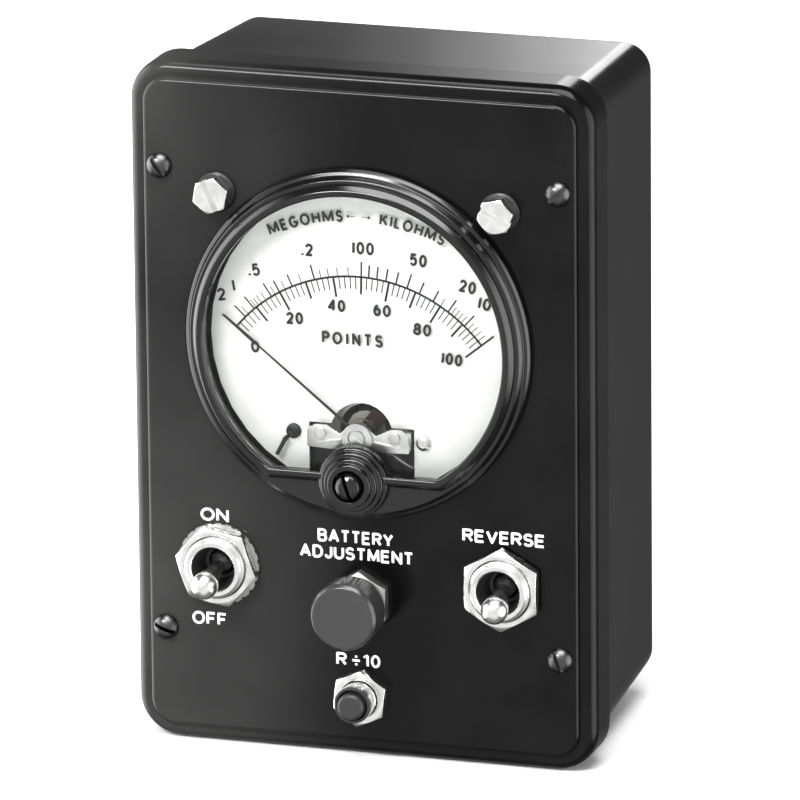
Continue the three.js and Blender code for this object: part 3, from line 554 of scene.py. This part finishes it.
def movement_bridge(material, dark):
    """Die-cut bridge in front of the movement, with a strut below and behind it, and a dark plate there that
    paints the shade under the bridge.
    """
    lug = [(-10.1, -2.4), (-10.1, 0.9), (-8.6, 2.0), (-6.4, 2.0), (-3.6, 0.6), (-2.4, 1.6), (-2.4, -2.0),
           (-5.0, -2.6)]
    parts = [(lug, -1.5, -0.7), ([(-x, z) for x, z in lug][::-1], -1.5, -0.7)]
    parts += [(circle(3.0, 0, -0.2, 40), -1.7, -0.7)]
    for side in (-1, 1):
        foot = [(side * 9.3 + dx, dz) for dx, dz in ((-0.7, -2.2), (0.7, -2.2), (0.7, 1.2), (-0.7, 1.2))]
        rib = [(side * x, z) for x, z in ((3.2, -0.9), (8.4, -1.7), (8.4, -1.2), (3.2, -0.3))]
        parts += [(foot, -1.2, 4.1), (rib, -1.75, -1.4), (circle(1.15, side * 7.4, 0.5, 20), -2.05, -1.4)]
    prisms("movement_bridge_stamping", parts, place(0, 0, PIVOT_Z), material, soften=0.12,
           stands_for=["movement_bridge"], slot="silver")
    # A dark plate behind the bridge's lower edge: painted shade under the bridge.
    skirt = [(-10.2, -6.8), (10.2, -6.8), (10.2, -2.0), (-10.2, -2.0)]
    strut = [(4.4, -3.9), (9.6, -6.6), (9.9, -6.2), (4.9, -3.3)]
    prisms("movement_painted_shade_plate", [(skirt, 3.4, 4.1)], place(0, 0, PIVOT_Z), dark, slot="iron")
    prisms("movement_strut", [(strut, 2.2, 3.3)], place(0, 0, PIVOT_Z), material, soften=0.1, slot="silver")


# ---------------------------------------------------------------- printing
def bow(cx, cz, rx, rz, start, end, steps=10):
    """Points along an elliptic arc between two angles in degrees, anticlockwise when end is larger."""
    turn = [math.radians(start + (end - start) * k / steps) for k in range(steps + 1)]
    return [(cx + rx * math.cos(a), cz + rz * math.sin(a)) for a in turn]


OVAL = [bow(0.5, 0.5, 0.5, 0.5, 0, 360, 28)]
SIGN_P = [[(0, 0), (0, 1), (0.58, 1), *bow(0.62, 0.75, 0.38, 0.25, 90, -90), (0, 0.5)]]
GLYPHS = {
    "A": (0.80, [[(0, 0), (0.5, 1), (1, 0)], [(0.19, 0.32), (0.81, 0.32)]]),
    "B": (0.68, [[(0, 0), (0, 1), (0.55, 1), *bow(0.6, 0.77, 0.34, 0.23, 90, -90), (0, 0.54)],
                 [(0.55, 0.54), *bow(0.64, 0.27, 0.36, 0.27, 90, -90), (0, 0)]]),
    "D": (0.72, [[(0, 0), (0, 1), (0.42, 1), *bow(0.45, 0.5, 0.55, 0.5, 90, -90, 16), (0, 0)]]),
    "E": (0.62, [[(1, 1), (0, 1), (0, 0), (1, 0)], [(0, 0.52), (0.9, 0.52)]]),
    "F": (0.58, [[(1, 1), (0, 1), (0, 0)], [(0, 0.5), (0.88, 0.5)]]),
    "G": (0.80, [[*bow(0.5, 0.5, 0.5, 0.5, 42, 325, 22), (0.96, 0.44), (0.55, 0.44)]]),
    "H": (0.70, [[(0, 0), (0, 1)], [(1, 0), (1, 1)], [(0, 0.52), (1, 0.52)]]),
    "I": (0.02, [[(0.5, 0), (0.5, 1)]]),
    "J": (0.50, [[(1, 1), (1, 0.3), *bow(0.5, 0.3, 0.5, 0.3, 0, -170)]]),
    "K": (0.68, [[(0, 0), (0, 1)], [(0.95, 1), (0, 0.36)], [(0.35, 0.6), (1, 0)]]),
    "L": (0.55, [[(0, 1), (0, 0), (1, 0)]]),
    "M": (0.85, [[(0, 0), (0.04, 1), (0.5, 0.12), (0.96, 1), (1, 0)]]),
    "N": (0.72, [[(0, 0), (0, 1), (1, 0), (1, 1)]]),
    "O": (0.84, OVAL),
    "P": (0.64, SIGN_P),
    "R": (0.68, [*SIGN_P, [(0.5, 0.5), (1, 0)]]),
    "S": (0.62, [[*bow(0.5, 0.75, 0.46, 0.25, 25, 250, 14), *bow(0.5, 0.26, 0.5, 0.26, 70, -155, 14)]]),
    "T": (0.66, [[(0, 1), (1, 1)], [(0.5, 1), (0.5, 0)]]),
    "U": (0.70, [[(0, 1), (0, 0.34), *bow(0.5, 0.34, 0.5, 0.34, 180, 360, 14), (1, 1)]]),
    "V": (0.76, [[(0, 1), (0.5, 0), (1, 1)]]),
    "Y": (0.76, [[(0, 1), (0.5, 0.44), (1, 1)], [(0.5, 0.44), (0.5, 0)]]),
    "0": (0.58, OVAL),
    "1": (0.02, [[(0.5, 0), (0.5, 1)]]),
    "2": (0.58, [[*bow(0.5, 0.72, 0.48, 0.28, 165, -35, 14), (0, 0), (1, 0)]]),
    "4": (0.62, [[(0.76, 0), (0.76, 1), (0, 0.28), (1, 0.28)]]),
    "5": (0.58, [[(0.92, 1), (0.14, 1), (0.06, 0.52), *bow(0.48, 0.33, 0.5, 0.33, 130, -150, 16)]]),
    "6": (0.58, [bow(0.5, 0.31, 0.48, 0.31, 0, 360, 24), bow(0.75, 0.4, 0.73, 0.6, 185, 105, 10)]),
    "8": (0.58, [bow(0.5, 0.77, 0.4, 0.23, 0, 360, 20), bow(0.5, 0.27, 0.5, 0.27, 0, 360, 24)]),
    "÷": (0.55, [[(0, 0.45), (1, 0.45)], [(0.5, 0.72), (0.5, 0.92)], [(0.5, -0.02), (0.5, 0.18)]]),
    ".": (0.02, [[(0.5, 0.0), (0.5, 0.17)]]),
}


class Printing:
    """Collects flat ink strokes in one mesh, facing -Y; later strokes lie a hair in front of earlier ones."""

    LAYER = 0.0004

    def __init__(self):
        self.bm = bmesh.new()
        self.y = 0.0

    def face(self, points):
        self.y -= self.LAYER
        self.bm.faces.new([self.bm.verts.new((x * MM, self.y * MM, z * MM)) for x, z in points])

    def stroke(self, start, end, width):
        a, b = Vector(start), Vector(end)
        side = (b - a).normalized().orthogonal() * width / 2
        self.face([a + side, b + side, b - side, a - side])

    def path(self, points, width):
        for start, end in zip(points, points[1:]):
            self.stroke(start, end, width)
        for x, z in points[1:-1]:
            self.face(circle(width / 2, x, z, 10))

    def letter(self, glyph, x, z, width, height, turn, weight):
        """One letter centred on (x, z), width and height over the ink, turned clockwise by turn radians."""
        cosine, sine = math.cos(turn), math.sin(turn)
        for line in GLYPHS[glyph][1]:
            placed = []
            for gx, gz in line:
                u = (gx - 0.5) * max(0.0, width - weight)
                w = (gz - 0.5) * (height - weight)
                placed.append((x + u * cosine + w * sine, z - u * sine + w * cosine))
            self.path(placed, weight)

    def letters(self, text, x, z, width, height, turn=0.0, weight=0.3, gap=0.17):
        """A word centred on (x, z) and fitted to width, letters spaced by gap cap heights."""
        natural = [GLYPHS[glyph][0] * height + weight for glyph in text]
        spaces = gap * height * (len(text) - 1)
        scale = width / (sum(natural) + spaces)
        at = -width / 2
        for glyph, own in zip(text, natural):
            middle = at + own * scale / 2
            centre = (x + middle * math.cos(turn), z - middle * math.sin(turn))
            self.letter(glyph, *centre, own * scale, height, turn, weight)
            at += (own + gap * height) * scale

    def finish(self, name, y, material, slot):
        mesh = bpy.data.meshes.new(name)
        for face in self.bm.faces:
            face.normal_update()
            if face.normal.y > 0:
                face.normal_flip()
        self.bm.to_mesh(mesh)
        self.bm.free()
        return new_object(name, mesh, place(0, y, 0), material, slot=slot, smooth=None)


def on_dial(points, radius):
    """(x, z, angle) on the dial at a reading from 0 to 100 and a radius from the scale's centre.

    The scale is not quite even: its middle is shifted clockwise by middle_shift degrees.
    """
    middle_shift = 1.2 * math.sin(math.pi * points / 100)
    angle = math.radians(-SCALE_HALF_ANGLE + 2 * SCALE_HALF_ANGLE * points / 100 + middle_shift)
    return SCALE_CENTRE[0] + radius * math.sin(angle), SCALE_CENTRE[1] + radius * math.cos(angle), angle


def reading(kilohms):
    """Where a resistance falls on the 0 to 100 scale, with 100 kilohms at the middle."""
    return 100 * 100 / (100 + kilohms)


def round_dial(degrees, radius):
    angle = math.radians(degrees)
    return radius * math.sin(angle), PIVOT_Z + radius * math.cos(angle)


def scale_lines(printing):
    """The arc, the tick marks below it in points and the tick marks above it in kilohms."""
    def tick(points, inner, outer, width):
        printing.stroke(on_dial(points, inner)[:2], on_dial(points, outer)[:2], width)

    steps = 90
    overlap = 0.02
    for k in range(steps):
        start = on_dial(100 * (k - overlap) / steps, SCALE_ARC)[:2]
        end = on_dial(100 * (k + 1 + overlap) / steps, SCALE_ARC)[:2]
        printing.stroke(start, end, 0.42)
    for points in range(0, 101, 2):
        if points % 10:
            tick(points, 29.0, SCALE_ARC, 0.2)
        else:
            tick(points, 27.5 if points % 20 == 0 else 28.0, SCALE_ARC, 0.42)
    tick(0, 26.9, 35.0, 0.4)
    tick(100, 27.3, 34.6, 0.38)
    numbered = (2000, 1000, 500, 200, 100, 50, 20, 10)
    for kilohms in (2000, 1000, 500, 400, 300, 200, 100, 90, 80, 70, 60, 50, 40, 30, 20, 10):
        tick(reading(kilohms), SCALE_ARC, 34.4 if kilohms in numbered else 33.9, 0.3)
    fine = (1500, 900, 800, 700, 600, 450, 350, 250, 180, 160, 140, 120, 25, 18, 16, 14, 12, 8, 6, 4, 2)
    for kilohms in fine:
        tick(reading(kilohms), SCALE_ARC, 33.2, 0.15)


def scale_numbers(printing):
    """Numbers above and below the arc, each nudged by (dx, dz) from its even place."""
    weight = 0.5
    for text, kilohms, width, dx, dz in (
        ("2", 2000, 1.7, -0.5, 0.0), ("1", 1000, 0.45, -0.2, -0.1), (".5", 500, 2.4, -0.2, 0.1),
        (".2", 200, 2.4, 0.2, 0.1), ("100", 100, 4.3, 0.35, -0.2), ("50", 50, 3.4, 0.5, 0.1),
        ("20", 20, 3.3, 0.6, 0.4), ("10", 10, 2.5, 0.2, 0.3),
    ):
        x, z, angle = on_dial(reading(kilohms), 37.3)
        printing.letters(text, x + dx, z + dz, width, 2.5, angle * 0.25, weight)
    for text, points, radius, width, dx, dz in (
        ("0", 0, 26.3, 1.7, -0.2, -0.4), ("20", 20, 25.0, 3.4, -0.2, 0.7),
        ("40", 40, 25.0, 3.5, -0.3, 0.8), ("60", 60, 25.0, 3.5, -0.1, 0.7),
        ("80", 80, 25.0, 3.6, -0.2, 0.7), ("100", 100, 25.6, 4.1, -1.2, 0.6),
    ):
        x, z, angle = on_dial(points, radius)
        printing.letters(text, x + dx, z + dz, width, 2.4, angle * 0.1, weight)
    places = (-6.8, -4.5, -2.5, -0.7, 1.6, 3.8)
    widths = (1.6, 2.0, 0.45, 1.7, 1.7, 1.65)
    for glyph, x, width in zip("POINTS", places, widths):
        printing.letter(glyph, x, 15.5, width, 2.5, 0.0, weight)


def scale_names(printing):
    """The two scale names on their own arc, with an arrow beside each."""
    for word, start, widths in (
        ("MEGOHMS", -24.8, (2.3, 1.4, 1.9, 2.0, 1.7, 2.3, 1.4)),
        ("KILOHMS", 5.6, (1.7, 0.42, 1.3, 2.0, 1.7, 2.3, 1.4)),
    ):
        along = start
        for glyph, width in zip(word, widths):
            degrees = along + math.degrees(width / 2 / LETTER_ARC)
            x, z = round_dial(degrees, LETTER_ARC)
            printing.letter(glyph, x, z, width, 2.35, math.radians(degrees), 0.47)
            along += math.degrees((width + 0.42) / LETTER_ARC)
    for side in (-1, 1):
        wings = [round_dial(2.5 * side, LETTER_ARC + rise) for rise in (0.38, -0.38)]
        printing.face([round_dial(3.3 * side, LETTER_ARC), *wings])
        printing.stroke(round_dial(2.6 * side, LETTER_ARC), round_dial(0.9 * side, LETTER_ARC), 0.13)


def dial_printing(material):
    printing = Printing()
    scale_lines(printing)
    scale_numbers(printing)
    scale_names(printing)
    printing.finish("dial_printing", 0.97, material, "pointer_black")


def panel_legends(material):
    printing = Printing()
    for text, x, z, width in (
        ("ON", -29.4, -21.4, 5.7), ("OFF", -30.7, -42.25, 7.0), ("BATTERY", -1.1, -23.6, 15.2),
        ("ADJUSTMENT", -0.9, -26.9, 22.8), ("REVERSE", 28.5, -21.2, 16.4),
    ):
        printing.letters(text, x, z, width, LEGEND_HEIGHT, weight=LEGEND_WEIGHT, gap=0.12)
    for glyph, x, width in (("R", -4.1, 2.1), ("÷", -1.15, 2.0), ("1", 1.15, 0.5), ("0", 2.75, 1.9)):
        printing.letter(glyph, x, -48.0, width, LEGEND_HEIGHT, 0.0, LEGEND_WEIGHT)
    flag = ((0.35, -47.35), (1.2, -46.85))
    printing.stroke(*flag, 0.4)
    printing.finish("panel_legends", -0.02, material, "dial")


# ---------------------------------------------------------------- toggle switches
def toggle_washer(label, origin, radius, material):
    """Flat ring with small teeth round its edge."""
    options = {"stands_for": [f"{label}_lock_washer"], "slot": "plated"}
    rim = radius - 0.2
    ring = [(6.2, -0.05, 0), (6.2, -0.75, 0.1), (rim, -0.75, 0.15), (rim, -0.05, 0), (6.2, -0.05, 0)]
    turned(f"{label}_washer_ring", ring, origin, material, **options)
    root = radius - 0.6
    tooth = [(root, -0.72), (radius, -0.66), (radius, 0.66), (root, 0.72)]
    teeth = []
    count = 24
    for k in range(count):
        cosine = math.cos(2 * math.pi * k / count)
        sine = math.sin(2 * math.pi * k / count)
        outline = [(x * cosine - z * sine, x * sine + z * cosine) for x, z in tooth]
        teeth.append((outline, -0.72, -0.12))
    prisms(f"{label}_washer_teeth", teeth, origin, material, **options)


def toggle_lever(name, label, side, lean, material):
    """Bat lever: a rounded tip that tapers to a thin neck above its ball."""
    profile = [(0.001, -13.2, 0), (0.9, -13.04, 0), (1.7, -12.57, 0), (2.3, -11.82, 0), (2.56, -11.0, 0),
               (2.6, -10.3, 0), (2.5, -9.3, 0), (2.2, -8.0, 0), (1.75, -6.5, 0), (1.42, -5.0, 0),
               (1.28, -3.6, 0), (1.28, -1.75, 0.2), (1.95, -0.9, 0.3), (2.15, 0, 0.4), (1.9, 1.0, 0.3),
               (1.1, 1.9, 0.1), (1.1, 4.6, 0.2), (0.001, 5.0, 0)]
    bm = lathe(filleted(profile), 64)
    down = Matrix.Rotation(math.radians(LEVER_ANGLE), 3, "X")
    aside = Matrix.Rotation(math.radians(lean), 3, "Z")
    bmesh.ops.rotate(bm, verts=bm.verts, cent=(0, 0, 0), matrix=down @ aside)
    origin = place(side * TOGGLE_X, LEVER_PIVOT_Y, TOGGLE_Z)
    new_object(f"{label}_bat_lever", to_mesh("lever", bm), origin, material, body=f"{name}_toggle",
               stands_for=[f"{label}_lever"], slot="plated", smooth=50)


def toggle_switch(name, side, nut_turn, washer_radius, lean, plated, dull, shade_lining):
    """Ringed bushing with a dark liner that paints the shade in its throat, hex nut, washer and lever."""
    origin = place(side * TOGGLE_X, 0, TOGGLE_Z)
    label = f"{name}_switch"
    shell = [(4.3, 3.6, 0), (4.3, -4.35, 0.15), (4.55, -4.6, 0.12), (5.3, -4.6, 0.15), (5.75, -4.25, 0.1)]
    for y in (-3.95, -3.35, -2.75, -2.15, -1.55):
        shell += [(5.5, y, 0), (5.95, y + 0.3, 0.04)]
    shell += [(5.95, 3.6, 0), (4.3, 3.6, 0)]
    options = {"stands_for": [f"{label}_bushing"], "slot": "plated"}
    turned(f"{label}_bushing_turned", shell, origin, plated, **options)
    # The dark liner stands for the shade deep in the bushing: painted shade.
    throat = [(4.28, -4.1, 0), (3.3, 1.2, 0.3), (2.6, 1.5, 0.1), (2.6, 3.6, 0), (4.28, 3.6, 0),
              (4.28, -4.1, 0)]
    turned(f"{label}_bushing_throat_painted_shade", throat, origin, shade_lining, **options)
    hexagon(f"{label}_hex_nut", NUT_FLATS["toggle"], -3.2, -0.8, nut_turn, origin, plated, hole=6.2,
            stands_for=[f"{label}_nut"], slot="plated")
    toggle_washer(label, origin, washer_radius, dull)
    toggle_lever(name, label, side, lean, plated)


# ---------------------------------------------------------------- control, button, terminals
def battery_adjustment(moulding, dull):
    """Round knob with a raised lip and a narrower neck, over its hex nut."""
    origin = place(0, 0, CONTROL_Z)
    profile = [(0.001, -12.35, 0), (4.6, -12.35, 0.6), (5.4, -12.5, 0.5), (6.05, -12.4, 0.6),
               (6.6, -11.6, 0.7), (6.6, -6.0, 0.4), (6.1, -5.5, 0.2), (5.2, -5.4, 0.1), (5.2, -3.9, 0.2),
               (3.35, -3.9, 0), (3.35, -6.0, 0)]
    turned("knob_cap", profile, origin, moulding, body="battery_adjust_rotor", stands_for=["adjust_knob"],
           slot="knob_phenolic")
    hexagon("adjust_control_hex_nut", NUT_FLATS["control"], -2.4, -0.05, math.pi / 6, origin, dull, hole=4.6,
            stands_for=["adjust_control_nut"], slot="plated")


def push_button(cap_material, plated, shade_lining):
    """Hex nut, plated bushing with a dark lining and lip that paint the shade round the button, and the
    button in it.
    """
    origin = place(0, 0, BUTTON_Z)
    hexagon("push_switch_hex_nut", NUT_FLATS["button"], -2.6, -0.05, math.pi / 6 - 0.11, origin, plated,
            hole=3.8, stands_for=["push_switch_nut"], slot="plated")
    shell = [(3.2, 3.5, 0), (3.2, -6.5, 0), (3.6, -6.5, 0.05), (3.6, -3.6, 0.1), (3.45, -3.4, 0.05),
             (3.6, -3.2, 0.05), (3.6, 3.5, 0), (3.2, 3.5, 0)]
    options = {"stands_for": ["push_switch_bushing"], "slot": "plated"}
    turned("push_switch_bushing_turned", shell, origin, plated, **options)
    # Dark lining and lip: painted shade in the gap round the button.
    lining = [(3.0, 3.5, 0), (3.0, -6.8, 0.15), (3.55, -6.8, 0.25), (3.6, -6.48, 0), (3.22, -6.48, 0),
              (3.22, 3.5, 0), (3.0, 3.5, 0)]
    turned("push_switch_bushing_shade_lining", lining, origin, shade_lining, **options)
    cap = [(0.001, -8.3, 0), (2.1, -8.26, 0.3), (2.62, -7.8, 0.4), (2.7, -6.8, 0), (2.7, 4.2, 0),
           (3.3, 4.2, 0), (3.3, 5.2, 0), (1.6, 5.2, 0), (1.6, 7.2, 0), (0.001, 7.2, 0)]
    turned("push_button_cap", cap, origin, cap_material, sides=64, body="push_button_plunger",
           stands_for=["push_button"], slot="phenolic")


def terminal(name, side, turn, slot_turn, plated, dark):
    """Slotted hex head on a dark round washer."""
    origin = place(side * TERMINAL[0], 0, TERMINAL[1])
    head = hexagon(f"terminal_head_{name}", NUT_FLATS["terminal"], -4.05, -0.95, turn, origin, plated,
                   stands_for=[f"terminal_screw_{name}"], slot="plated")
    subtract(head, box_mesh((12, 2.4, 1.1), slot_turn, (0, -4.05, 0)))
    washer = [(2.25, -0.05, 0), (2.25, -0.9, 0.1), (3.6, -0.9, 0.3), (3.95, -0.5, 0.2), (3.95, -0.05, 0),
              (2.25, -0.05, 0)]
    turned(f"terminal_washer_ring_{name}", washer, origin, dark, sides=64,
           stands_for=[f"terminal_washer_{name}"], slot="plated")


# ---------------------------------------------------------------- carried-over CAD nodes
def paint_cad(frame, finishes):
    """finishes: (names of the kept CAD pieces, material) pairs."""
    for names, material in finishes:
        for name in names:
            for slot in frame["nodes"][name].material_slots:
                slot.material = material


# ---------------------------------------------------------------- camera, light, floor
def camera():
    """Long lens from above and to the right of the panel."""
    yaw, pitch, roll = (math.radians(a) for a in (17.80, 15.92, -0.53))
    forward = Vector((-math.sin(yaw) * math.cos(pitch), math.cos(yaw) * math.cos(pitch), -math.sin(pitch)))
    right = forward.cross(Vector((0, 0, 1))).normalized()
    up = right.cross(forward)
    across = right * math.cos(roll) + up * math.sin(roll)
    over = up * math.cos(roll) - right * math.sin(roll)
    data = bpy.data.cameras.new("camera")
    data.lens = 470.75
    data.sensor_width = 36.0
    data.shift_y = -0.05
    obj = bpy.data.objects.new("camera", data)
    facing = Matrix((across, over, -forward)).transposed().to_4x4()
    obj.matrix_world = Matrix.Translation(place(590.6, -1814.2, 555.8)) @ facing
    bpy.context.scene.collection.objects.link(obj)
    bpy.context.scene.camera = obj


def softbox(name, position, target, size, power):
    """A rectangular light of (width, height) in metres, facing its target."""
    data = bpy.data.lights.new(name, "AREA")
    data.shape = "RECTANGLE"
    data.size, data.size_y = size
    data.energy = power
    obj = bpy.data.objects.new(name, data)
    obj.location = position
    obj.rotation_mode = "QUATERNION"
    obj.rotation_quaternion = (Vector(target) - Vector(position)).to_track_quat("-Z", "Y")
    bpy.context.scene.collection.objects.link(obj)


def surround():
    """A dim room: bright in front, brightest at the far left and right, a trace of light from below."""
    world = bpy.data.worlds.new("studio")
    world.use_nodes = True
    nodes, links = world.node_tree.nodes, world.node_tree.links
    axes = nodes.new("ShaderNodeSeparateXYZ")
    links.new(nodes.new("ShaderNodeTexCoord").outputs["Generated"], axes.inputs[0])

    def term(axis, start, end, level):
        node = nodes.new("ShaderNodeMapRange")
        node.interpolation_type = "SMOOTHSTEP"
        limits = {"From Min": start, "From Max": end, "To Min": 0.0, "To Max": level}
        for socket, value in limits.items():
            node.inputs[socket].default_value = value
        links.new(axes.outputs[axis], node.inputs["Value"])
        return node.outputs["Result"]

    front = term(1, -0.15, -0.75, 0.82)
    left = term(0, -0.7, -0.92, 4.5)
    right = term(0, 0.78, 0.95, 4.0)
    below = term(2, 0.1, -0.3, 0.08)
    everywhere = 0.12
    total = None
    for value in (front, left, right, below):
        node = nodes.new("ShaderNodeMath")
        node.operation = "ADD"
        links.new(value, node.inputs[0])
        if total:
            links.new(total, node.inputs[1])
        else:
            node.inputs[1].default_value = everywhere
        total = node.outputs[0]
    nodes["Background"].inputs["Color"].default_value = (1, 1, 1, 1)
    links.new(total, nodes["Background"].inputs["Strength"])
    bpy.context.scene.world = world


def back_cards(target):
    """Overlapping lights low behind the case, which give its top face a gradient towards the right."""
    right = -0.02
    for k in range(6):
        left = -0.265 + 0.02 * k
        position = ((left + right) / 2, 0.75, 0.34)
        softbox(f"back_card_{k}", position, target, (right - left, 0.26), 0.012 + 0.038 * k)


def paper_floor():
    """Plain pale floor that shiny surfaces do not mirror."""
    finish = Finish("floor_paper", Roughness=0.9)
    tone = finish.noise(0.004, detail=2.0)
    finish.drive("Base Color", finish.tint(tone, (0.92, 0.92, 0.92), (0.90, 0.90, 0.90)))
    mesh = bpy.data.meshes.new("floor")
    reach = 6.0
    corners = [(-reach, -reach, 0), (reach, -reach, 0), (reach, reach, 0), (-reach, reach, 0)]
    mesh.from_pydata(corners, [], [(0, 1, 2, 3)])
    mesh.materials.append(finish.material)
    floor = bpy.data.objects.new("floor", mesh)
    floor.location.z = -0.0002
    floor.visible_glossy = False
    bpy.context.scene.collection.objects.link(floor)


def studio():
    surround()
    middle = (0, 0, 0.06)
    softbox("overhead", (0.12, -0.3, 1.15), middle, (0.9, 0.8), 24)
    softbox("front_top", (-0.36, -0.85, 0.85), middle, (0.55, 0.16), 13)
    back_cards(middle)
    paper_floor()


# ---------------------------------------------------------------- the scene
bpy.context.scene.view_settings.view_transform = "Standard"
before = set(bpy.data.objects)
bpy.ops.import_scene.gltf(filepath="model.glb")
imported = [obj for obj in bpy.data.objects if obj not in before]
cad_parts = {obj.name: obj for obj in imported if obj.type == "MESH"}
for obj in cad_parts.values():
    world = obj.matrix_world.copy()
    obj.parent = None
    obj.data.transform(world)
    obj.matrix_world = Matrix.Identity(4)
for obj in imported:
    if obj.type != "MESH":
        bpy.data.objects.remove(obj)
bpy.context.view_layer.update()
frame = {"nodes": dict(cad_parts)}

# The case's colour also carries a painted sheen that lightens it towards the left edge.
black = phenolic("phenolic_case", 0.17, 0.0012, ior=1.26, painted_sheen_level=0.03)
glossy_black = phenolic("phenolic_bezel", 0.15, 0.001, ior=1.5)
knob_grey = phenolic("knob_moulding", 0.2, 0.022, ior=1.5)
cap_grey = matte("button_cap", (0.02, 0.02, 0.021), 0.4, 0.8)
# Dark matte that paints the shade inside the switch bushings and round the button.
painted_shade_black = matte("switch_painted_shade", (0.02, 0.02, 0.02), 0.5, 0.8)
plated = metal("nickel_plate", (0.9, 0.9, 0.89), 0.2)
dull_plate = metal("nickel_plate_dull", (0.42, 0.42, 0.41), 0.42)
black_steel = metal("blackened_steel", (0.1, 0.1, 0.102), 0.27)
stamped = metal("stamped_aluminium", (0.9, 0.9, 0.89), 0.32)
iron = metal("plated_iron", (0.8, 0.8, 0.79), 0.4)
dark_iron = metal("dark_iron", (0.06, 0.06, 0.06), 0.45)
brass = metal("machined_brass", (0.72, 0.55, 0.26), 0.3, turned=True)
copper = metal("enamelled_winding", (0.10, 0.055, 0.035), 0.4)
bronze = metal("phosphor_bronze", (0.62, 0.5, 0.34), 0.35)
black_ink = ink("dial_ink", (0.012, 0.012, 0.013), 0.02)
white_ink = ink("legend_paint", (0.88, 0.88, 0.87), -0.06)
needle_black = matte("pointer_lacquer", (0.012, 0.012, 0.012), 0.5, 2.0)

front_cover(black)
rear_case(black)
panel_screws(black_steel)
meter_bezel(glossy_black)
zero_adjuster(glossy_black)
pointer(needle_black)
movement_bridge(stamped, dark_iron)
dial_printing(black_ink)
panel_legends(white_ink)
toggle_switch("power", -1, -0.19, 8.1, 0.0, plated, dull_plate, painted_shade_black)
toggle_switch("reverse", 1, math.pi / 6, 6.9, 5.0, plated, dull_plate, painted_shade_black)
battery_adjustment(knob_grey, dull_plate)
push_button(cap_grey, plated, painted_shade_black)
terminal("left", -1, 0.35, 1.15, plated, dark_iron)
terminal("right", 1, 0.2, 0.47, plated, dark_iron)

paint_cad(frame, (
    (["meter_glass"], clear_glass()),
    (["dial_plate"], enamel()),
    (["meter_base"], glossy_black),
    (["dial_screw_right", "zero_arm", "push_button_spring", "battery_clip", "jewel_screw"], stamped),
    (["pointer_stop", "dial_screw_left"], dark_iron),
    (["pole_shoe_left", "pole_shoe_right", "magnet", "movement_core"], iron),
    (["meter_stud_left", "meter_stud_right", "meter_stud_nut_left", "meter_stud_nut_right",
      "terminal_insert_left", "terminal_insert_right"], brass),
    (["moving_coil"], copper),
    (["hairspring"], bronze),
    (["adjust_control_body", "adjust_control_bushing", "adjust_control_shaft"], plated),
    (["adjust_knob_set_screw"], black_steel),
    (["power_switch_body", "reverse_switch_body", "push_switch_body", "circuit_board"],
     matte("brown_laminate", (0.2, 0.09, 0.035), 0.5, 0.6)),
    (["calibration_resistor"], matte("resistor_coat", (0.58, 0.44, 0.24), 0.5, 0.8)),
    (["battery"], matte("battery_jacket", (0.03, 0.08, 0.14), 0.4, 0.2)),
))

camera()
studio()
